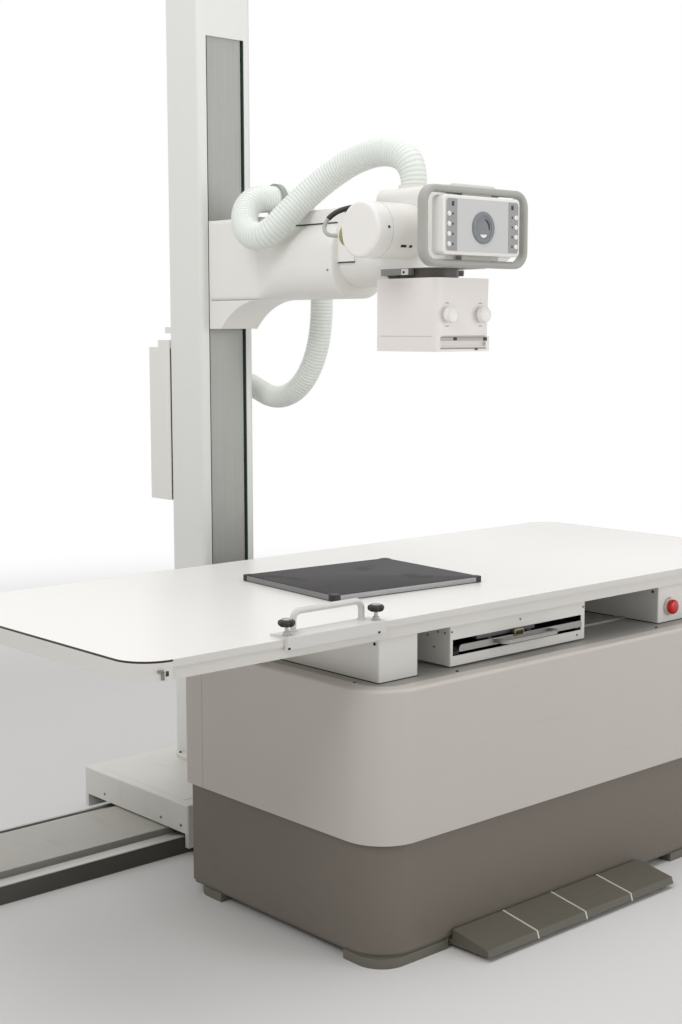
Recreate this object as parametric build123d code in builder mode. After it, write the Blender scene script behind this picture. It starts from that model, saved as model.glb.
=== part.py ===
from build123d import *
from math import radians, sqrt, tan
import os

# X-ray table with a rail-mounted tube stand, in millimetres.
# Origin: middle of the table's base, on the floor. +X runs along the table, +Y towards the tube stand.

# Table heights above the floor
table_height = 772
deck_below_top = 145
cover_height = 346
lower_cover_bottom = 30
cover_overlap = 114
foot_height = 22

# Base covers
base_length = 1292
base_depth = 714
cover_wall = 4
cover_gap = 9
front_corner_radius = 105
back_corner_radius = 25
rim_width = 38
rim_round = 8
rear_seam_y = 275
seam_gap = 1
foot_length = 213
foot_depth = 120
foot_corner_radius = 70
anchor_radius = 6.5
anchor_inset_x = 133
anchor_inset_y = 92

# Frames inside the base
frame_width = 60
frame_depth = 50
upper_frame_width = 40
upper_frame_depth = 40
deck_thickness = 3
fit = 0.3

# Lifting columns
lift_spacing = 600
lift_size = 160
lift_wall = 5
lift_play = 0.5
lift_stage_height = 320
lift_seat_height = 28

# Foot pedals
pedal_foot_gap = 2
pedal_count = 4
pedal_pitch = 173
pedal_divider = 4
pedal_play = 0.8
pedal_front_y = -463
pedal_back_y = -352
pedal_back_z = 46
pedal_front_z = 28
pedal_plate = 16
pedal_pivot_y = -330
pedal_pivot_z = 14
pedal_shaft_radius = 4
pedal_bar_y = -320

# End boxes and the cross rails on them
end_box_inner_x = 445
end_box_width = 121
end_box_front_y = -268
end_box_height = 99
cross_rail_width = 20
cross_rail_height = 5.7
stop_x = 492
stop_rise = 42
stop_collar_radius = 22
stop_collar_depth = 6
stop_head_radius = 17
stop_head_depth = 14
stop_stem_radius = 8
stop_travel = 4

# Cassette box, its slot and tray
bucky_center_x = -99.5
bucky_width = 483
bucky_depth = 500
bucky_height = 97
bucky_wall = 4
bucky_lift = 5
slot_left_post = 8
slot_right_post = 15
slot_bottom = 23
slot_height = 38
grid_size = 440
grid_thickness = 3
tray_width = 440
tray_depth = 466
tray_plate = 2
tray_lip = 14
tray_side = 10
tray_front_reach = 8
ledge_width = 28
tray_handle_width = 200
tray_handle_reach = 34
tray_handle_bar = 11
latch_offset = -17
tray_handle_thickness = 9
bucky_rail_y = 150
bucky_rail_width = 24

# Floating tabletop
top_length = 2200
top_width = 890
top_center_x = -125
top_center_y = 135
top_corner_radius = 80
panel_thickness = 12
band_thickness = 2
band_height = 4
rail_width = 45
rail_drop = 40
rail_lip = 15
rail_inset = 3
rail_flange = 6
rail_web = 17
apron_wall = 4
beam_center_x = 505
beam_width = 60
beam_height = 28
tie_width = 30
bearing_length = 50
brake_size = 60

# Detector lying on the tabletop
detector_x = -270
detector_y = 108
detector_turn = -5
detector_length = 460
detector_width = 384
detector_height = 15

# Hand grip clamped on the front rail
grip_from_end = 495.5
grip_length = 275
grip_reach = 56
grip_wall = 8
grip_top = 5
grip_drop = 27
handle_span = 192
handle_offset = 10
handle_height = 41
handle_rod_radius = 7
handle_bend = 18
handle_y = -274
knob_spacing = 250
knob_y = -300
knob_radius = 18.5
knob_height = 15
knob_lobes = 7
knob_lift = 24
stud_radius = 4

# Floor rail of the tube stand
rail_length = 2900
rail_front_y = 570
rail_back_y = 955
rail_base = 12
rail_side_height = 48
rail_side_wall = 8
rail_lip_width = 20
track_height = 28
track_width = 32
front_track_y = 616
back_track_y = 924
rail_plate_front_y = 650
rail_plate_back_y = 900
rail_plate_top = 52
rail_anchor_spacing = 866
rail_anchor_gap = 150

# Stand carriage
column_x = -132
carriage_width = 722
carriage_front_y = 552
carriage_back_y = 1058
carriage_top = 135
carriage_bottom = 56
carriage_wall = 5
skirt_depth = 15
skirt_bottom = 17
wheel_radius = 18
wheel_width = 24
collar_radius = 118
collar_height = 15

# Column
column_width = 187
column_depth = 157
column_front_y = 822
column_top = 2320
column_wall = 6
column_radius = 14
mouth_width = 132
mouth_bottom = 260
mouth_top = 2204
lip_width = 2.5
web_play = 1
web_thickness = 3
strip_thickness = 3
cap_height = 12

# Counterweight drive inside the column
counterweight_width = 160
counterweight_depth = 74
counterweight_height = 900
counterweight_bottom = 700
pulley_radius = 37
pulley_width = 16
pulley_z = 2262
pulley_y = 895
rope_radius = 2

# Control box on the column's back
box_depth = 104
box_bottom = 900
box_top = 1345
box_wall = 3
gland_radius = 36
gland_length = 12
gland_y = 1035
gland_z = 1240

# Arm
arm_bottom = 1476
arm_top = 1698
bracket_bottom = 1398
bracket_play = 2
bracket_plate = 8
bracket_width = 130
gusset_foot = 52
gusset_reach = 215
gusset_curve = 228
arm_width = 136
arm_box_end_y = 600
drum_start_y = 500
drum_end_y = 265
drum_size = 200
drum_corner = 80
head_axis_z = 1575
bearing_radius = 72
bearing_bore = 50
arm_wall = 6
bearing_end_y = 137
top_cover_width = 120
top_cover_seat = 1665
top_cover_top = 1703
end_cover_y = 205
end_cover_width = 150
end_cover_bottom = 1566

# Tube head
tube_radius = 66
tube_wall = 8
tube_length = 492
tube_cap_length = 48
tube_z = 1628
head_width = 180
head_front_y = -130
head_back_y = 107
head_bottom = 1550
head_top = 1735
head_round = 25
head_wall = 6
socket_y = 68
socket_height = 12
flange_thickness = 8

# Console with its grab frame
console_offset = -4
console_width = 264
console_height = 137
console_z = 1636.5
console_front_y = -168
console_radius = 12
face_thickness = 2
frame_outer_width = 361
frame_outer_height = 187
frame_center_z = 1634.5
frame_bar = 17
frame_back_y = -131
frame_front_y = -153
frame_radius = 42
key_radius = 4.5
key_proud = 1.2
key_side_offset = 115
key_pitch = 23
key_low_z = 1592
dial_radius = 36.5
dial_proud = 3

# Collimator
mount_plate_width = 180
mount_plate_depth = 204
mount_plate_thickness = 8
mount_step = 16
ring_radius = 62
collimator_width = 185
collimator_depth = 208
collimator_swell = 1.5
seam_corner = 20
top_corner = 12
back_corner = 8
collimator_top = 1518
collimator_bottom = 1343
collimator_seam = 1380
window_size = 110
window_thickness = 3
shutter_knob_spacing = 115
shutter_knob_z = 1431
shutter_knob_radius = 20
shutter_knob_length = 24
shutter_stem_radius = 5

# Hoses and the thin cable
upper_hose_radius = 36
lower_hose_radius = 32
cable_radius = 5
cable_plug_radius = 22
cable_plug_z = 1618
clamp_radius = 42
clamp_width = 16
clamp_x = -128
clamp_y = 606
clamp_z = 1747

pieces = {}


def span(x, y, z, mode=Mode.ADD):
    """A plain block between two corners, for brackets, blocks and cuts."""
    with Locations(((x[0] + x[1]) / 2, (y[0] + y[1]) / 2, (z[0] + z[1]) / 2)):
        Box(x[1] - x[0], y[1] - y[0], z[1] - z[0], mode=mode)


def base_outline(inset):
    """Plan of the base: wide round corners at the front, small ones at the back."""
    Rectangle(base_length - 2 * inset, base_depth - 2 * inset)
    fillet(vertices().group_by(Axis.Y)[0], max(front_corner_radius - inset, 2))
    fillet(vertices().group_by(Axis.Y)[-1], max(back_corner_radius - inset, 2))


def top_outline(inset):
    """Plan of the tabletop, inset from its outer edge."""
    with Locations((top_center_x, top_center_y)):
        RectangleRounded(top_length - 2 * inset, top_width - 2 * inset, top_corner_radius - inset)


def collimator_outline(front_radius):
    """Plan of the collimator's cover: a little wider than its foot, with rounder corners in front."""
    with Locations((column_x, 0)):
        Rectangle(collimator_width + 2 * collimator_swell, collimator_depth)
    fillet(vertices().group_by(Axis.Y)[0], front_radius)
    fillet(vertices().group_by(Axis.Y)[-1], back_corner)


def rounded_path(points, radius):
    """Middle line of a hose or cable: straight runs joined by arcs as large as the runs allow."""
    route = [Vector(*point) for point in points]
    radii = []
    for before, corner, after in zip(route, route[1:], route[2:]):
        turn = radians((corner - before).get_angle(after - corner))
        shorter = min((corner - before).length, (after - corner).length)
        radii.append(0.45 * shorter / tan(turn / 2))
    with BuildLine() as line:
        FilletPolyline(*route, radius=radii)
    path = line.wire()
    print(f"  length {path.length:.0f}, radii in diameters:", [round(r / (2 * radius), 1) for r in radii])
    return path


# Heights and places that follow from the sizes above
deck_height = table_height - deck_below_top
cover_bottom = deck_height - cover_height
lower_cover_top = cover_bottom + cover_overlap
lower_inset = cover_wall + cover_gap
lower_inside = lower_inset + cover_wall
lower_half_length = base_length / 2 - lower_inset
lower_half_depth = base_depth / 2 - lower_inset
table_anchor_x = lower_half_length - anchor_inset_x
table_anchor_y = lower_half_depth - anchor_inset_y
pedal_start_x = foot_length - lower_half_length + pedal_foot_gap
frame_top = foot_height + frame_depth
deck_top = deck_height - cover_wall
stop_z = deck_top + stop_rise
deck_bottom = deck_top - deck_thickness
upper_frame_bottom = deck_bottom - upper_frame_depth
end_box_top = deck_top + end_box_height
cross_rail_top = end_box_top + cross_rail_height
beam_bottom = cross_rail_top + fit
bucky_bottom = deck_top + bucky_lift
bucky_top = bucky_bottom + bucky_height
bucky_back_y = end_box_front_y + bucky_depth
panel_bottom = table_height - panel_thickness
top_left_x = top_center_x - top_length / 2
top_right_x = top_center_x + top_length / 2
top_front_y = top_center_y - top_width / 2
top_back_y = top_center_y + top_width / 2
grip_center_x = top_left_x + grip_from_end
rail_left_x = top_left_x + top_corner_radius
rail_right_x = top_right_x - top_corner_radius
rail_bottom = table_height - rail_drop
column_back_y = column_front_y + column_depth
column_bottom = carriage_top + collar_height + fit
column_middle_y = column_front_y + column_depth / 2
ring_top = head_bottom - mount_plate_thickness - fit
console_x = column_x + console_offset


# Base of the table

with BuildPart() as base_frame:
    with BuildSketch(Plane.XY.offset(foot_height)):
        base_outline(lower_inside + fit)
        with BuildSketch(mode=Mode.SUBTRACT):
            base_outline(lower_inside + frame_width)
    extrude(amount=frame_depth)
    for side in (-1, 1):
        column_place = side * lift_spacing / 2
        reach = lower_half_depth - cover_wall - frame_width
        seat = (foot_height, foot_height + lift_seat_height)
        span((column_place - lift_size / 2, column_place + lift_size / 2), (-reach, reach), seat)
    for side_x in (-1, 1):
        for side_y in (-1, 1):
            near = (side_x * (lower_half_length - foot_length / 2), side_y * (lower_half_depth - foot_depth / 2))
            with BuildSketch(Plane.XY):
                with Locations(near):
                    Rectangle(foot_length, foot_depth)
                corner = vertices().sort_by_distance((side_x * base_length, side_y * base_length))[0]
                fillet(corner, foot_corner_radius)
            extrude(amount=foot_height)
    with BuildSketch(Plane.XY):
        with GridLocations(2 * table_anchor_x, 2 * table_anchor_y, 2, 2):
            Circle(anchor_radius)
    extrude(amount=foot_height, mode=Mode.SUBTRACT)
pieces["base_frame"] = base_frame

with BuildPart() as lower_cover:
    with BuildSketch(Plane.XY.offset(lower_cover_bottom)):
        base_outline(lower_inset)
        with BuildSketch(mode=Mode.SUBTRACT):
            base_outline(lower_inside)
    extrude(amount=lower_cover_top - lower_cover_bottom)
pieces["lower_cover"] = lower_cover

with BuildPart() as cover_shell:
    with BuildSketch(Plane.XY.offset(cover_bottom)):
        base_outline(0)
    extrude(amount=deck_height - cover_bottom)
    fillet(faces().sort_by(Axis.Z)[-1].edges(), rim_round)
    with BuildSketch(Plane.XY.offset(cover_bottom)):
        base_outline(cover_wall)
    extrude(amount=deck_top - cover_bottom, mode=Mode.SUBTRACT)
    with BuildSketch(Plane.XY.offset(cover_bottom)):
        base_outline(rim_width)
    extrude(amount=deck_height - cover_bottom, mode=Mode.SUBTRACT)

cover_reach = (-base_length, base_length)
cover_span = (0, table_height)
with BuildPart() as upper_cover:
    add(cover_shell.part)
    span(cover_reach, (rear_seam_y - seam_gap / 2, base_depth), cover_span, Mode.SUBTRACT)
pieces["upper_cover"] = upper_cover

with BuildPart() as rear_cover:
    add(cover_shell.part)
    span(cover_reach, (-base_depth, rear_seam_y + seam_gap / 2), cover_span, Mode.SUBTRACT)
pieces["rear_cover"] = rear_cover

with BuildPart() as deck_plate:
    with BuildSketch(Plane.XY.offset(deck_bottom)):
        base_outline(cover_wall + fit)
    extrude(amount=deck_thickness)
    with BuildSketch(Plane.XY.offset(upper_frame_bottom)):
        base_outline(lower_inside + cover_wall)
        with BuildSketch(mode=Mode.SUBTRACT):
            base_outline(lower_inside + cover_wall + upper_frame_width)
    extrude(amount=upper_frame_depth)
    for side in (-1, 1):
        column_place = side * lift_spacing / 2
        reach = lower_half_depth - 2 * cover_wall - upper_frame_width
        beam = (column_place - lift_size / 2, column_place + lift_size / 2)
        span(beam, (-reach, reach), (upper_frame_bottom, upper_frame_bottom + 10))
    for side in (-1, 1):
        strip = (side * bucky_rail_y - bucky_rail_width / 2, side * bucky_rail_y + bucky_rail_width / 2)
        span((-end_box_inner_x, end_box_inner_x), strip, (deck_top, deck_top + bucky_lift - fit))
pieces["deck_plate"] = deck_plate


# Telescopic lifting columns: three square tubes, one inside the other

lift_stages = {
    "lift_column_outer": (foot_height + lift_seat_height, lift_size),
    "lift_column_middle": (155, lift_size - 2 * (lift_wall + lift_play)),
    "lift_column_inner": (upper_frame_bottom - lift_stage_height, lift_size - 4 * (lift_wall + lift_play)),
}
for stage, (stage_bottom, stage_size) in lift_stages.items():
    with BuildPart() as lift_stage:
        with BuildSketch(Plane.XY.offset(stage_bottom)):
            with GridLocations(lift_spacing, 0, 2, 1):
                Rectangle(stage_size, stage_size)
                Rectangle(stage_size - 2 * lift_wall, stage_size - 2 * lift_wall, mode=Mode.SUBTRACT)
        extrude(amount=lift_stage_height)
    pieces[stage] = lift_stage


# Foot pedals: four treads on one shaft, with pale dividers between them

pedal_end_x = pedal_start_x + pedal_count * pedal_pitch
with BuildPart() as pedal_bracket:
    bar_z = (pedal_pivot_z - 6, foot_height)
    span((pedal_start_x, pedal_end_x), (pedal_bar_y, pedal_bar_y + 28), bar_z)
    for number in range(1, pedal_count):
        place = pedal_start_x + number * pedal_pitch
        with BuildSketch(Plane.YZ.offset(place - pedal_divider / 2)):
            with BuildLine():
                Polyline(
                    (pedal_front_y - 1, pedal_front_z - pedal_plate - 1),
                    (pedal_front_y + 5, pedal_front_z + 1),
                    (pedal_back_y, pedal_back_z + 1),
                    (pedal_back_y + 4, foot_height),
                    (pedal_bar_y, foot_height),
                    (pedal_bar_y, pedal_pivot_z - 6),
                    (pedal_back_y, pedal_pivot_z - 5),
                    close=True,
                )
            make_face()
        extrude(amount=pedal_divider)
    for end in (pedal_start_x, pedal_end_x - pedal_divider):
        span((end, end + pedal_divider), (pedal_pivot_y - 8, pedal_bar_y), bar_z)
    with BuildSketch(Plane.YZ.offset(pedal_start_x)):
        with Locations((pedal_pivot_y, pedal_pivot_z)):
            Circle(pedal_shaft_radius)
    extrude(amount=pedal_count * pedal_pitch)
pieces["pedal_bracket"] = pedal_bracket

for number in range(pedal_count):
    inner = pedal_divider / 2 + pedal_play
    first = pedal_start_x + number * pedal_pitch + (pedal_divider + pedal_play if number == 0 else inner)
    last_play = pedal_divider + pedal_play if number == pedal_count - 1 else inner
    last = pedal_start_x + (number + 1) * pedal_pitch - last_play
    with BuildPart() as tread:
        with BuildSketch(Plane.YZ.offset(first)):
            with BuildLine():
                Polyline(
                    (pedal_front_y, pedal_front_z - pedal_plate),
                    (pedal_front_y + 6, pedal_front_z),
                    (pedal_back_y, pedal_back_z),
                    (pedal_back_y + 3, pedal_pivot_z + 6),
                    (pedal_pivot_y + 6, pedal_pivot_z + 6),
                    (pedal_pivot_y + 6, pedal_pivot_z - 6),
                    (pedal_back_y, pedal_pivot_z - 4),
                    close=True,
                )
            make_face()
            with Locations((pedal_pivot_y, pedal_pivot_z)):
                Circle(pedal_shaft_radius + fit, mode=Mode.SUBTRACT)
        extrude(amount=last - first)
    pieces[f"foot_pedal_{number + 1}"] = tread


# End boxes on the deck, with the stop button's collar

with BuildPart() as end_boxes:
    for side in (-1, 1):
        middle = side * (end_box_inner_x + end_box_width / 2)
        with BuildSketch(Plane.XY.offset(deck_top)):
            with Locations((middle, 0)):
                RectangleRounded(end_box_width, -2 * end_box_front_y, 4)
        extrude(amount=end_box_height)
        with BuildSketch(Plane.XY.offset(deck_top)):
            with Locations((middle, 0)):
                Rectangle(end_box_width - 2 * cover_wall, -2 * end_box_front_y - 2 * cover_wall)
        extrude(amount=end_box_height - cover_wall, mode=Mode.SUBTRACT)
        rail_x = (side * beam_center_x - cross_rail_width / 2, side * beam_center_x + cross_rail_width / 2)
        span(rail_x, (end_box_front_y, -end_box_front_y), (end_box_top, cross_rail_top))
    with BuildSketch(Plane.XZ.offset(-end_box_front_y)):
        with Locations((stop_x, stop_z)):
            Circle(stop_collar_radius)
    extrude(amount=stop_collar_depth)
    with BuildSketch(Plane.XZ.offset(-end_box_front_y + stop_collar_depth)):
        with Locations((stop_x, stop_z)):
            Circle(stop_stem_radius + fit)
    extrude(amount=-stop_collar_depth - 12, mode=Mode.SUBTRACT)
pieces["end_boxes"] = end_boxes

with BuildPart() as stop_button:
    stem_start = -end_box_front_y - 6
    head_start = -end_box_front_y + stop_collar_depth + stop_travel + 1
    with BuildSketch(Plane.XZ.offset(stem_start)):
        with Locations((stop_x, stop_z)):
            Circle(stop_stem_radius)
    extrude(amount=head_start - stem_start)
    with BuildSketch(Plane.XZ.offset(head_start)):
        with Locations((stop_x, stop_z)):
            Circle(stop_head_radius)
    extrude(amount=stop_head_depth)
    fillet(faces().sort_by(Axis.Y)[0].edges(), 5)
pieces["stop_button"] = stop_button


# Cassette box: a folded sheet box with a wide front slot, and its pull-out tray

bucky_left = bucky_center_x - bucky_width / 2
bucky_right = bucky_center_x + bucky_width / 2
slot_x = (bucky_left + slot_left_post, bucky_right - slot_right_post)
slot_z = (bucky_bottom + slot_bottom, bucky_bottom + slot_bottom + slot_height)
ledge_top = slot_z[0] + 10
with BuildPart() as bucky_housing:
    with BuildSketch(Plane.XY.offset(bucky_bottom)):
        with Locations((bucky_center_x, end_box_front_y + bucky_depth / 2)):
            RectangleRounded(bucky_width, bucky_depth, 3)
    extrude(amount=bucky_height)
    inner_x = (bucky_left + bucky_wall, bucky_right - bucky_wall)
    inner_y = (end_box_front_y + bucky_wall, bucky_back_y - bucky_wall)
    span(inner_x, inner_y, (bucky_bottom + bucky_wall, bucky_top - bucky_wall), Mode.SUBTRACT)
    span(slot_x, (end_box_front_y - 1, inner_y[0] + 1), slot_z, Mode.SUBTRACT)
    ledge_z = (ledge_top - 8, ledge_top - fit)
    span((inner_x[0], inner_x[0] + ledge_width), inner_y, ledge_z)
    span((inner_x[1] - ledge_width, inner_x[1]), inner_y, ledge_z)
pieces["bucky_housing"] = bucky_housing

with BuildPart() as bucky_grid:
    with BuildSketch(Plane.XY.offset(bucky_top)):
        with Locations((bucky_center_x, end_box_front_y + bucky_depth / 2)):
            RectangleRounded(grid_size, grid_size, 6)
    extrude(amount=grid_thickness)
pieces["bucky_grid"] = bucky_grid

with BuildPart() as cassette_tray:
    tray_front_y = end_box_front_y - tray_front_reach
    tray_middle_y = tray_front_y + tray_depth / 2
    with BuildSketch(Plane.XY.offset(ledge_top)):
        with Locations((bucky_center_x, tray_middle_y)):
            Rectangle(tray_width, tray_depth)
    extrude(amount=tray_plate)
    with BuildSketch(Plane.XZ.offset(-tray_front_y - tray_plate)):
        with Locations((bucky_center_x, ledge_top + (tray_plate + tray_lip) / 2)):
            Rectangle(tray_width, tray_plate + tray_lip)
        fillet(vertices().group_by(Axis.Y)[-1], 9)
    extrude(amount=tray_plate)
    for side in (-1, 1):
        edge = bucky_center_x + side * tray_width / 2
        side_x = sorted((edge, edge - side * tray_plate))
        span(side_x, (tray_front_y + 12, tray_front_y + tray_depth), (ledge_top, ledge_top + tray_side))
    handle_z = ledge_top + tray_lip / 2 - tray_handle_thickness / 2 + tray_plate
    with BuildSketch(Plane.XY.offset(handle_z)):
        with Locations((bucky_center_x, tray_front_y - tray_handle_reach / 2)):
            Rectangle(tray_handle_width, tray_handle_reach)
            fillet(vertices().group_by(Axis.Y)[0], 20)
            with Locations((0, tray_handle_bar / 2)):
                Rectangle(
                    tray_handle_width - 2 * tray_handle_bar,
                    tray_handle_reach - tray_handle_bar,
                    mode=Mode.SUBTRACT,
                )
    extrude(amount=tray_handle_thickness)
    latch_x = (bucky_center_x + latch_offset - 13, bucky_center_x + latch_offset + 13)
    span(latch_x, (tray_front_y, tray_front_y + 14), (ledge_top + tray_lip + tray_plate, ledge_top + 24))
pieces["cassette_tray"] = cassette_tray


# Cross beams that carry the tabletop on the end boxes

with BuildPart() as cross_beams:
    rail_inside_front = top_front_y + rail_inset + rail_width
    rail_inside_back = top_back_y - rail_inset - rail_width
    beam_y = (rail_inside_front + 2, rail_inside_back - 2)
    beam_z = (beam_bottom, beam_bottom + beam_height)
    channel_z = (rail_bottom + rail_flange + fit, panel_bottom - rail_flange - fit)
    bearing_reach = rail_width - rail_web - 4
    for side in (-1, 1):
        middle = side * beam_center_x
        span((middle - beam_width / 2, middle + beam_width / 2), beam_y, beam_z)
        bearing_x = (middle - bearing_length / 2, middle + bearing_length / 2)
        span(bearing_x, (beam_y[0] - bearing_reach, beam_y[0]), channel_z)
        span(bearing_x, (beam_y[1], beam_y[1] + bearing_reach), channel_z)
        brake_x = sorted((middle - side * beam_width / 2, middle - side * (beam_width / 2 + 30)))
        brake_y = (top_center_y - brake_size / 2, top_center_y + brake_size / 2)
        span(brake_x, brake_y, (beam_z[0] + 8, panel_bottom - fit))
    tie_x = (-beam_center_x + beam_width / 2, beam_center_x - beam_width / 2)
    tie_z = (beam_z[0] + 8, beam_z[1])
    span(tie_x, (beam_y[0], beam_y[0] + tie_width), tie_z)
    span(tie_x, (beam_y[1] - tie_width, beam_y[1]), tie_z)
pieces["cross_beams"] = cross_beams


# Tabletop: panel, dark edge band, side rails and end aprons

with BuildPart() as tabletop_panel:
    with BuildSketch(Plane.XY.offset(panel_bottom)):
        top_outline(band_thickness)
    extrude(amount=panel_thickness)
pieces["tabletop_panel"] = tabletop_panel

middle_x = (rail_left_x, rail_right_x)
whole_y = (top_front_y - 10, top_back_y + 10)
with BuildPart() as edge_band:
    with BuildSketch(Plane.XY.offset(table_height - band_height)):
        top_outline(0)
        with BuildSketch(mode=Mode.SUBTRACT):
            top_outline(band_thickness)
    extrude(amount=band_height)
    span(middle_x, whole_y, (rail_bottom, table_height + 5), Mode.SUBTRACT)
pieces["edge_band"] = edge_band

with BuildPart() as side_rails:
    with BuildSketch(Plane.YZ.offset(rail_left_x)):
        with BuildLine():
            face_y = top_front_y + rail_inset
            inside_y = face_y + rail_width
            Polyline(
                (top_front_y, table_height),
                (top_front_y + band_thickness, table_height),
                (top_front_y + band_thickness, panel_bottom),
                (inside_y, panel_bottom),
                (inside_y, panel_bottom - rail_flange),
                (face_y + rail_web, panel_bottom - rail_flange),
                (face_y + rail_web, rail_bottom + rail_flange),
                (inside_y, rail_bottom + rail_flange),
                (inside_y, rail_bottom),
                (face_y, rail_bottom),
                (face_y, table_height - rail_lip),
                (top_front_y, table_height - rail_lip),
                close=True,
            )
        make_face()
    extrude(amount=rail_right_x - rail_left_x)
    mirror(about=Plane.XZ.offset(-top_center_y))
pieces["side_rails"] = side_rails

with BuildPart() as end_aprons:
    with BuildSketch(Plane.XY.offset(rail_bottom)):
        top_outline(0)
        with BuildSketch(mode=Mode.SUBTRACT):
            top_outline(apron_wall)
    extrude(amount=panel_bottom - rail_bottom)
    with BuildSketch(Plane.XY.offset(panel_bottom - 3)):
        top_outline(0)
        with BuildSketch(mode=Mode.SUBTRACT):
            top_outline(28)
    extrude(amount=3)
    with BuildSketch(Plane.XY.offset(panel_bottom)):
        top_outline(0)
        with BuildSketch(mode=Mode.SUBTRACT):
            top_outline(band_thickness)
    extrude(amount=table_height - band_height - panel_bottom)
    span(middle_x, whole_y, (rail_bottom, table_height), Mode.SUBTRACT)
pieces["end_aprons"] = end_aprons


# Flat detector with an aluminium frame and corner bumpers

detector_plane = Plane(origin=(detector_x, detector_y, table_height)).rotated((0, 0, detector_turn))
with BuildPart() as detector:
    with BuildSketch(detector_plane):
        RectangleRounded(detector_length, detector_width, 8)
    extrude(amount=detector_height)
    chamfer(faces().sort_by(Axis.Z)[-1].edges(), 1)
pieces["detector"] = detector


# Hand grip: a hooked clamp over the front rail, a bent rod handle and two star knobs

grip_left = grip_center_x - grip_length / 2
with BuildPart() as rail_clamp:
    with BuildSketch(Plane.YZ.offset(grip_left)):
        with BuildLine():
            front = top_front_y - grip_wall
            top = table_height + grip_top
            Polyline(
                (front, top),
                (front + grip_reach, top),
                (front + grip_reach, table_height),
                (top_front_y, table_height),
                (top_front_y, table_height - rail_lip - fit),
                (top_front_y + rail_inset - fit, table_height - rail_lip - fit),
                (top_front_y + rail_inset - fit, top - grip_drop),
                (front, top - grip_drop),
                close=True,
            )
        make_face()
        fillet(vertices().group_by(Axis.Y)[-1], 2)
    extrude(amount=grip_length)
    for side in (-1, 1):
        with BuildSketch(Plane.XY.offset(table_height)):
            with Locations((grip_center_x + side * knob_spacing / 2, knob_y)):
                Circle(stud_radius + fit)
        extrude(amount=grip_top, mode=Mode.SUBTRACT)
    handle_start_x = grip_center_x + handle_offset - handle_span / 2
    handle_end_x = grip_center_x + handle_offset + handle_span / 2
    with BuildLine() as handle_path:
        FilletPolyline(
            (handle_start_x, handle_y, top),
            (handle_start_x, handle_y, top + handle_height),
            (handle_end_x, handle_y, top + handle_height),
            (handle_end_x, handle_y, top),
            radius=handle_bend,
        )
    with BuildSketch(Plane.XY.offset(top)):
        with Locations((handle_start_x, handle_y)):
            Circle(handle_rod_radius)
    sweep(path=handle_path.wire())
pieces["rail_clamp"] = rail_clamp

for side, name in ((-1, "star_knob_left"), (1, "star_knob_right")):
    knob_x = grip_center_x + side * knob_spacing / 2
    top = table_height + grip_top
    with BuildPart() as star_knob:
        with BuildSketch(Plane.XY.offset(table_height + fit)):
            with Locations((knob_x, knob_y)):
                Circle(stud_radius)
        extrude(amount=knob_lift - fit)
        with BuildSketch(Plane.XY.offset(top + fit)):
            with Locations((knob_x, knob_y)):
                RegularPolygon(7.5, 6)
        extrude(amount=5)
        with BuildSketch(Plane.XY.offset(table_height + knob_lift)):
            with Locations((knob_x, knob_y)):
                Circle(knob_radius - 4)
                with PolarLocations(knob_radius - 4.5, knob_lobes):
                    Circle(4.5)
        extrude(amount=knob_height - 4)
        with BuildSketch(Plane.XY.offset(table_height + knob_lift + knob_height - 4)):
            with Locations((knob_x, knob_y)):
                Circle(knob_radius - 7)
        extrude(amount=4)
    pieces[name] = star_knob


# Floor rail of the tube stand

rail_x = (-rail_length / 2, rail_length / 2)
with BuildPart() as floor_rail:
    with BuildSketch(Plane.YZ.offset(rail_x[0])):
        with BuildLine():
            Polyline(
                (rail_front_y, 0),
                (rail_front_y, rail_side_height),
                (rail_front_y + rail_lip_width, rail_side_height),
                (rail_front_y + rail_lip_width, rail_side_height - 4),
                (rail_front_y + rail_side_wall, rail_side_height - 4),
                (rail_front_y + rail_side_wall, rail_base),
                (rail_back_y - rail_side_wall, rail_base),
                (rail_back_y - rail_side_wall, rail_side_height - 4),
                (rail_back_y, rail_side_height - 4),
                (rail_back_y, 0),
                close=True,
            )
        make_face()
        for track_y in (front_track_y, back_track_y):
            with Locations((track_y, rail_base + track_height / 2)):
                Rectangle(track_width, track_height)
    extrude(amount=rail_length)
    for end in (rail_x[0], rail_x[1] - 6):
        span((end, end + 6), (rail_front_y, rail_back_y), (0, rail_side_height - 4))
    with BuildSketch(Plane.XY):
        with Locations((0, (rail_plate_front_y + rail_plate_back_y) / 2)):
            with GridLocations(rail_anchor_spacing, rail_anchor_gap, 4, 2):
                Circle(anchor_radius)
    extrude(amount=rail_base, mode=Mode.SUBTRACT)
pieces["floor_rail"] = floor_rail

with BuildPart() as rail_cover:
    with BuildSketch(Plane.YZ.offset(rail_x[0] + 6)):
        with Locations(((rail_plate_front_y + rail_plate_back_y) / 2, (rail_base + rail_plate_top) / 2)):
            Rectangle(rail_plate_back_y - rail_plate_front_y, rail_plate_top - rail_base)
        with Locations(((rail_plate_front_y + rail_plate_back_y) / 2, (rail_base + rail_plate_top) / 2 - 4)):
            plate_width = rail_plate_back_y - rail_plate_front_y
            Rectangle(plate_width - 8, rail_plate_top - rail_base - 4, mode=Mode.SUBTRACT)
    extrude(amount=rail_length - 12)
pieces["rail_cover"] = rail_cover


# Carriage of the stand, on wheels in the rail

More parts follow.
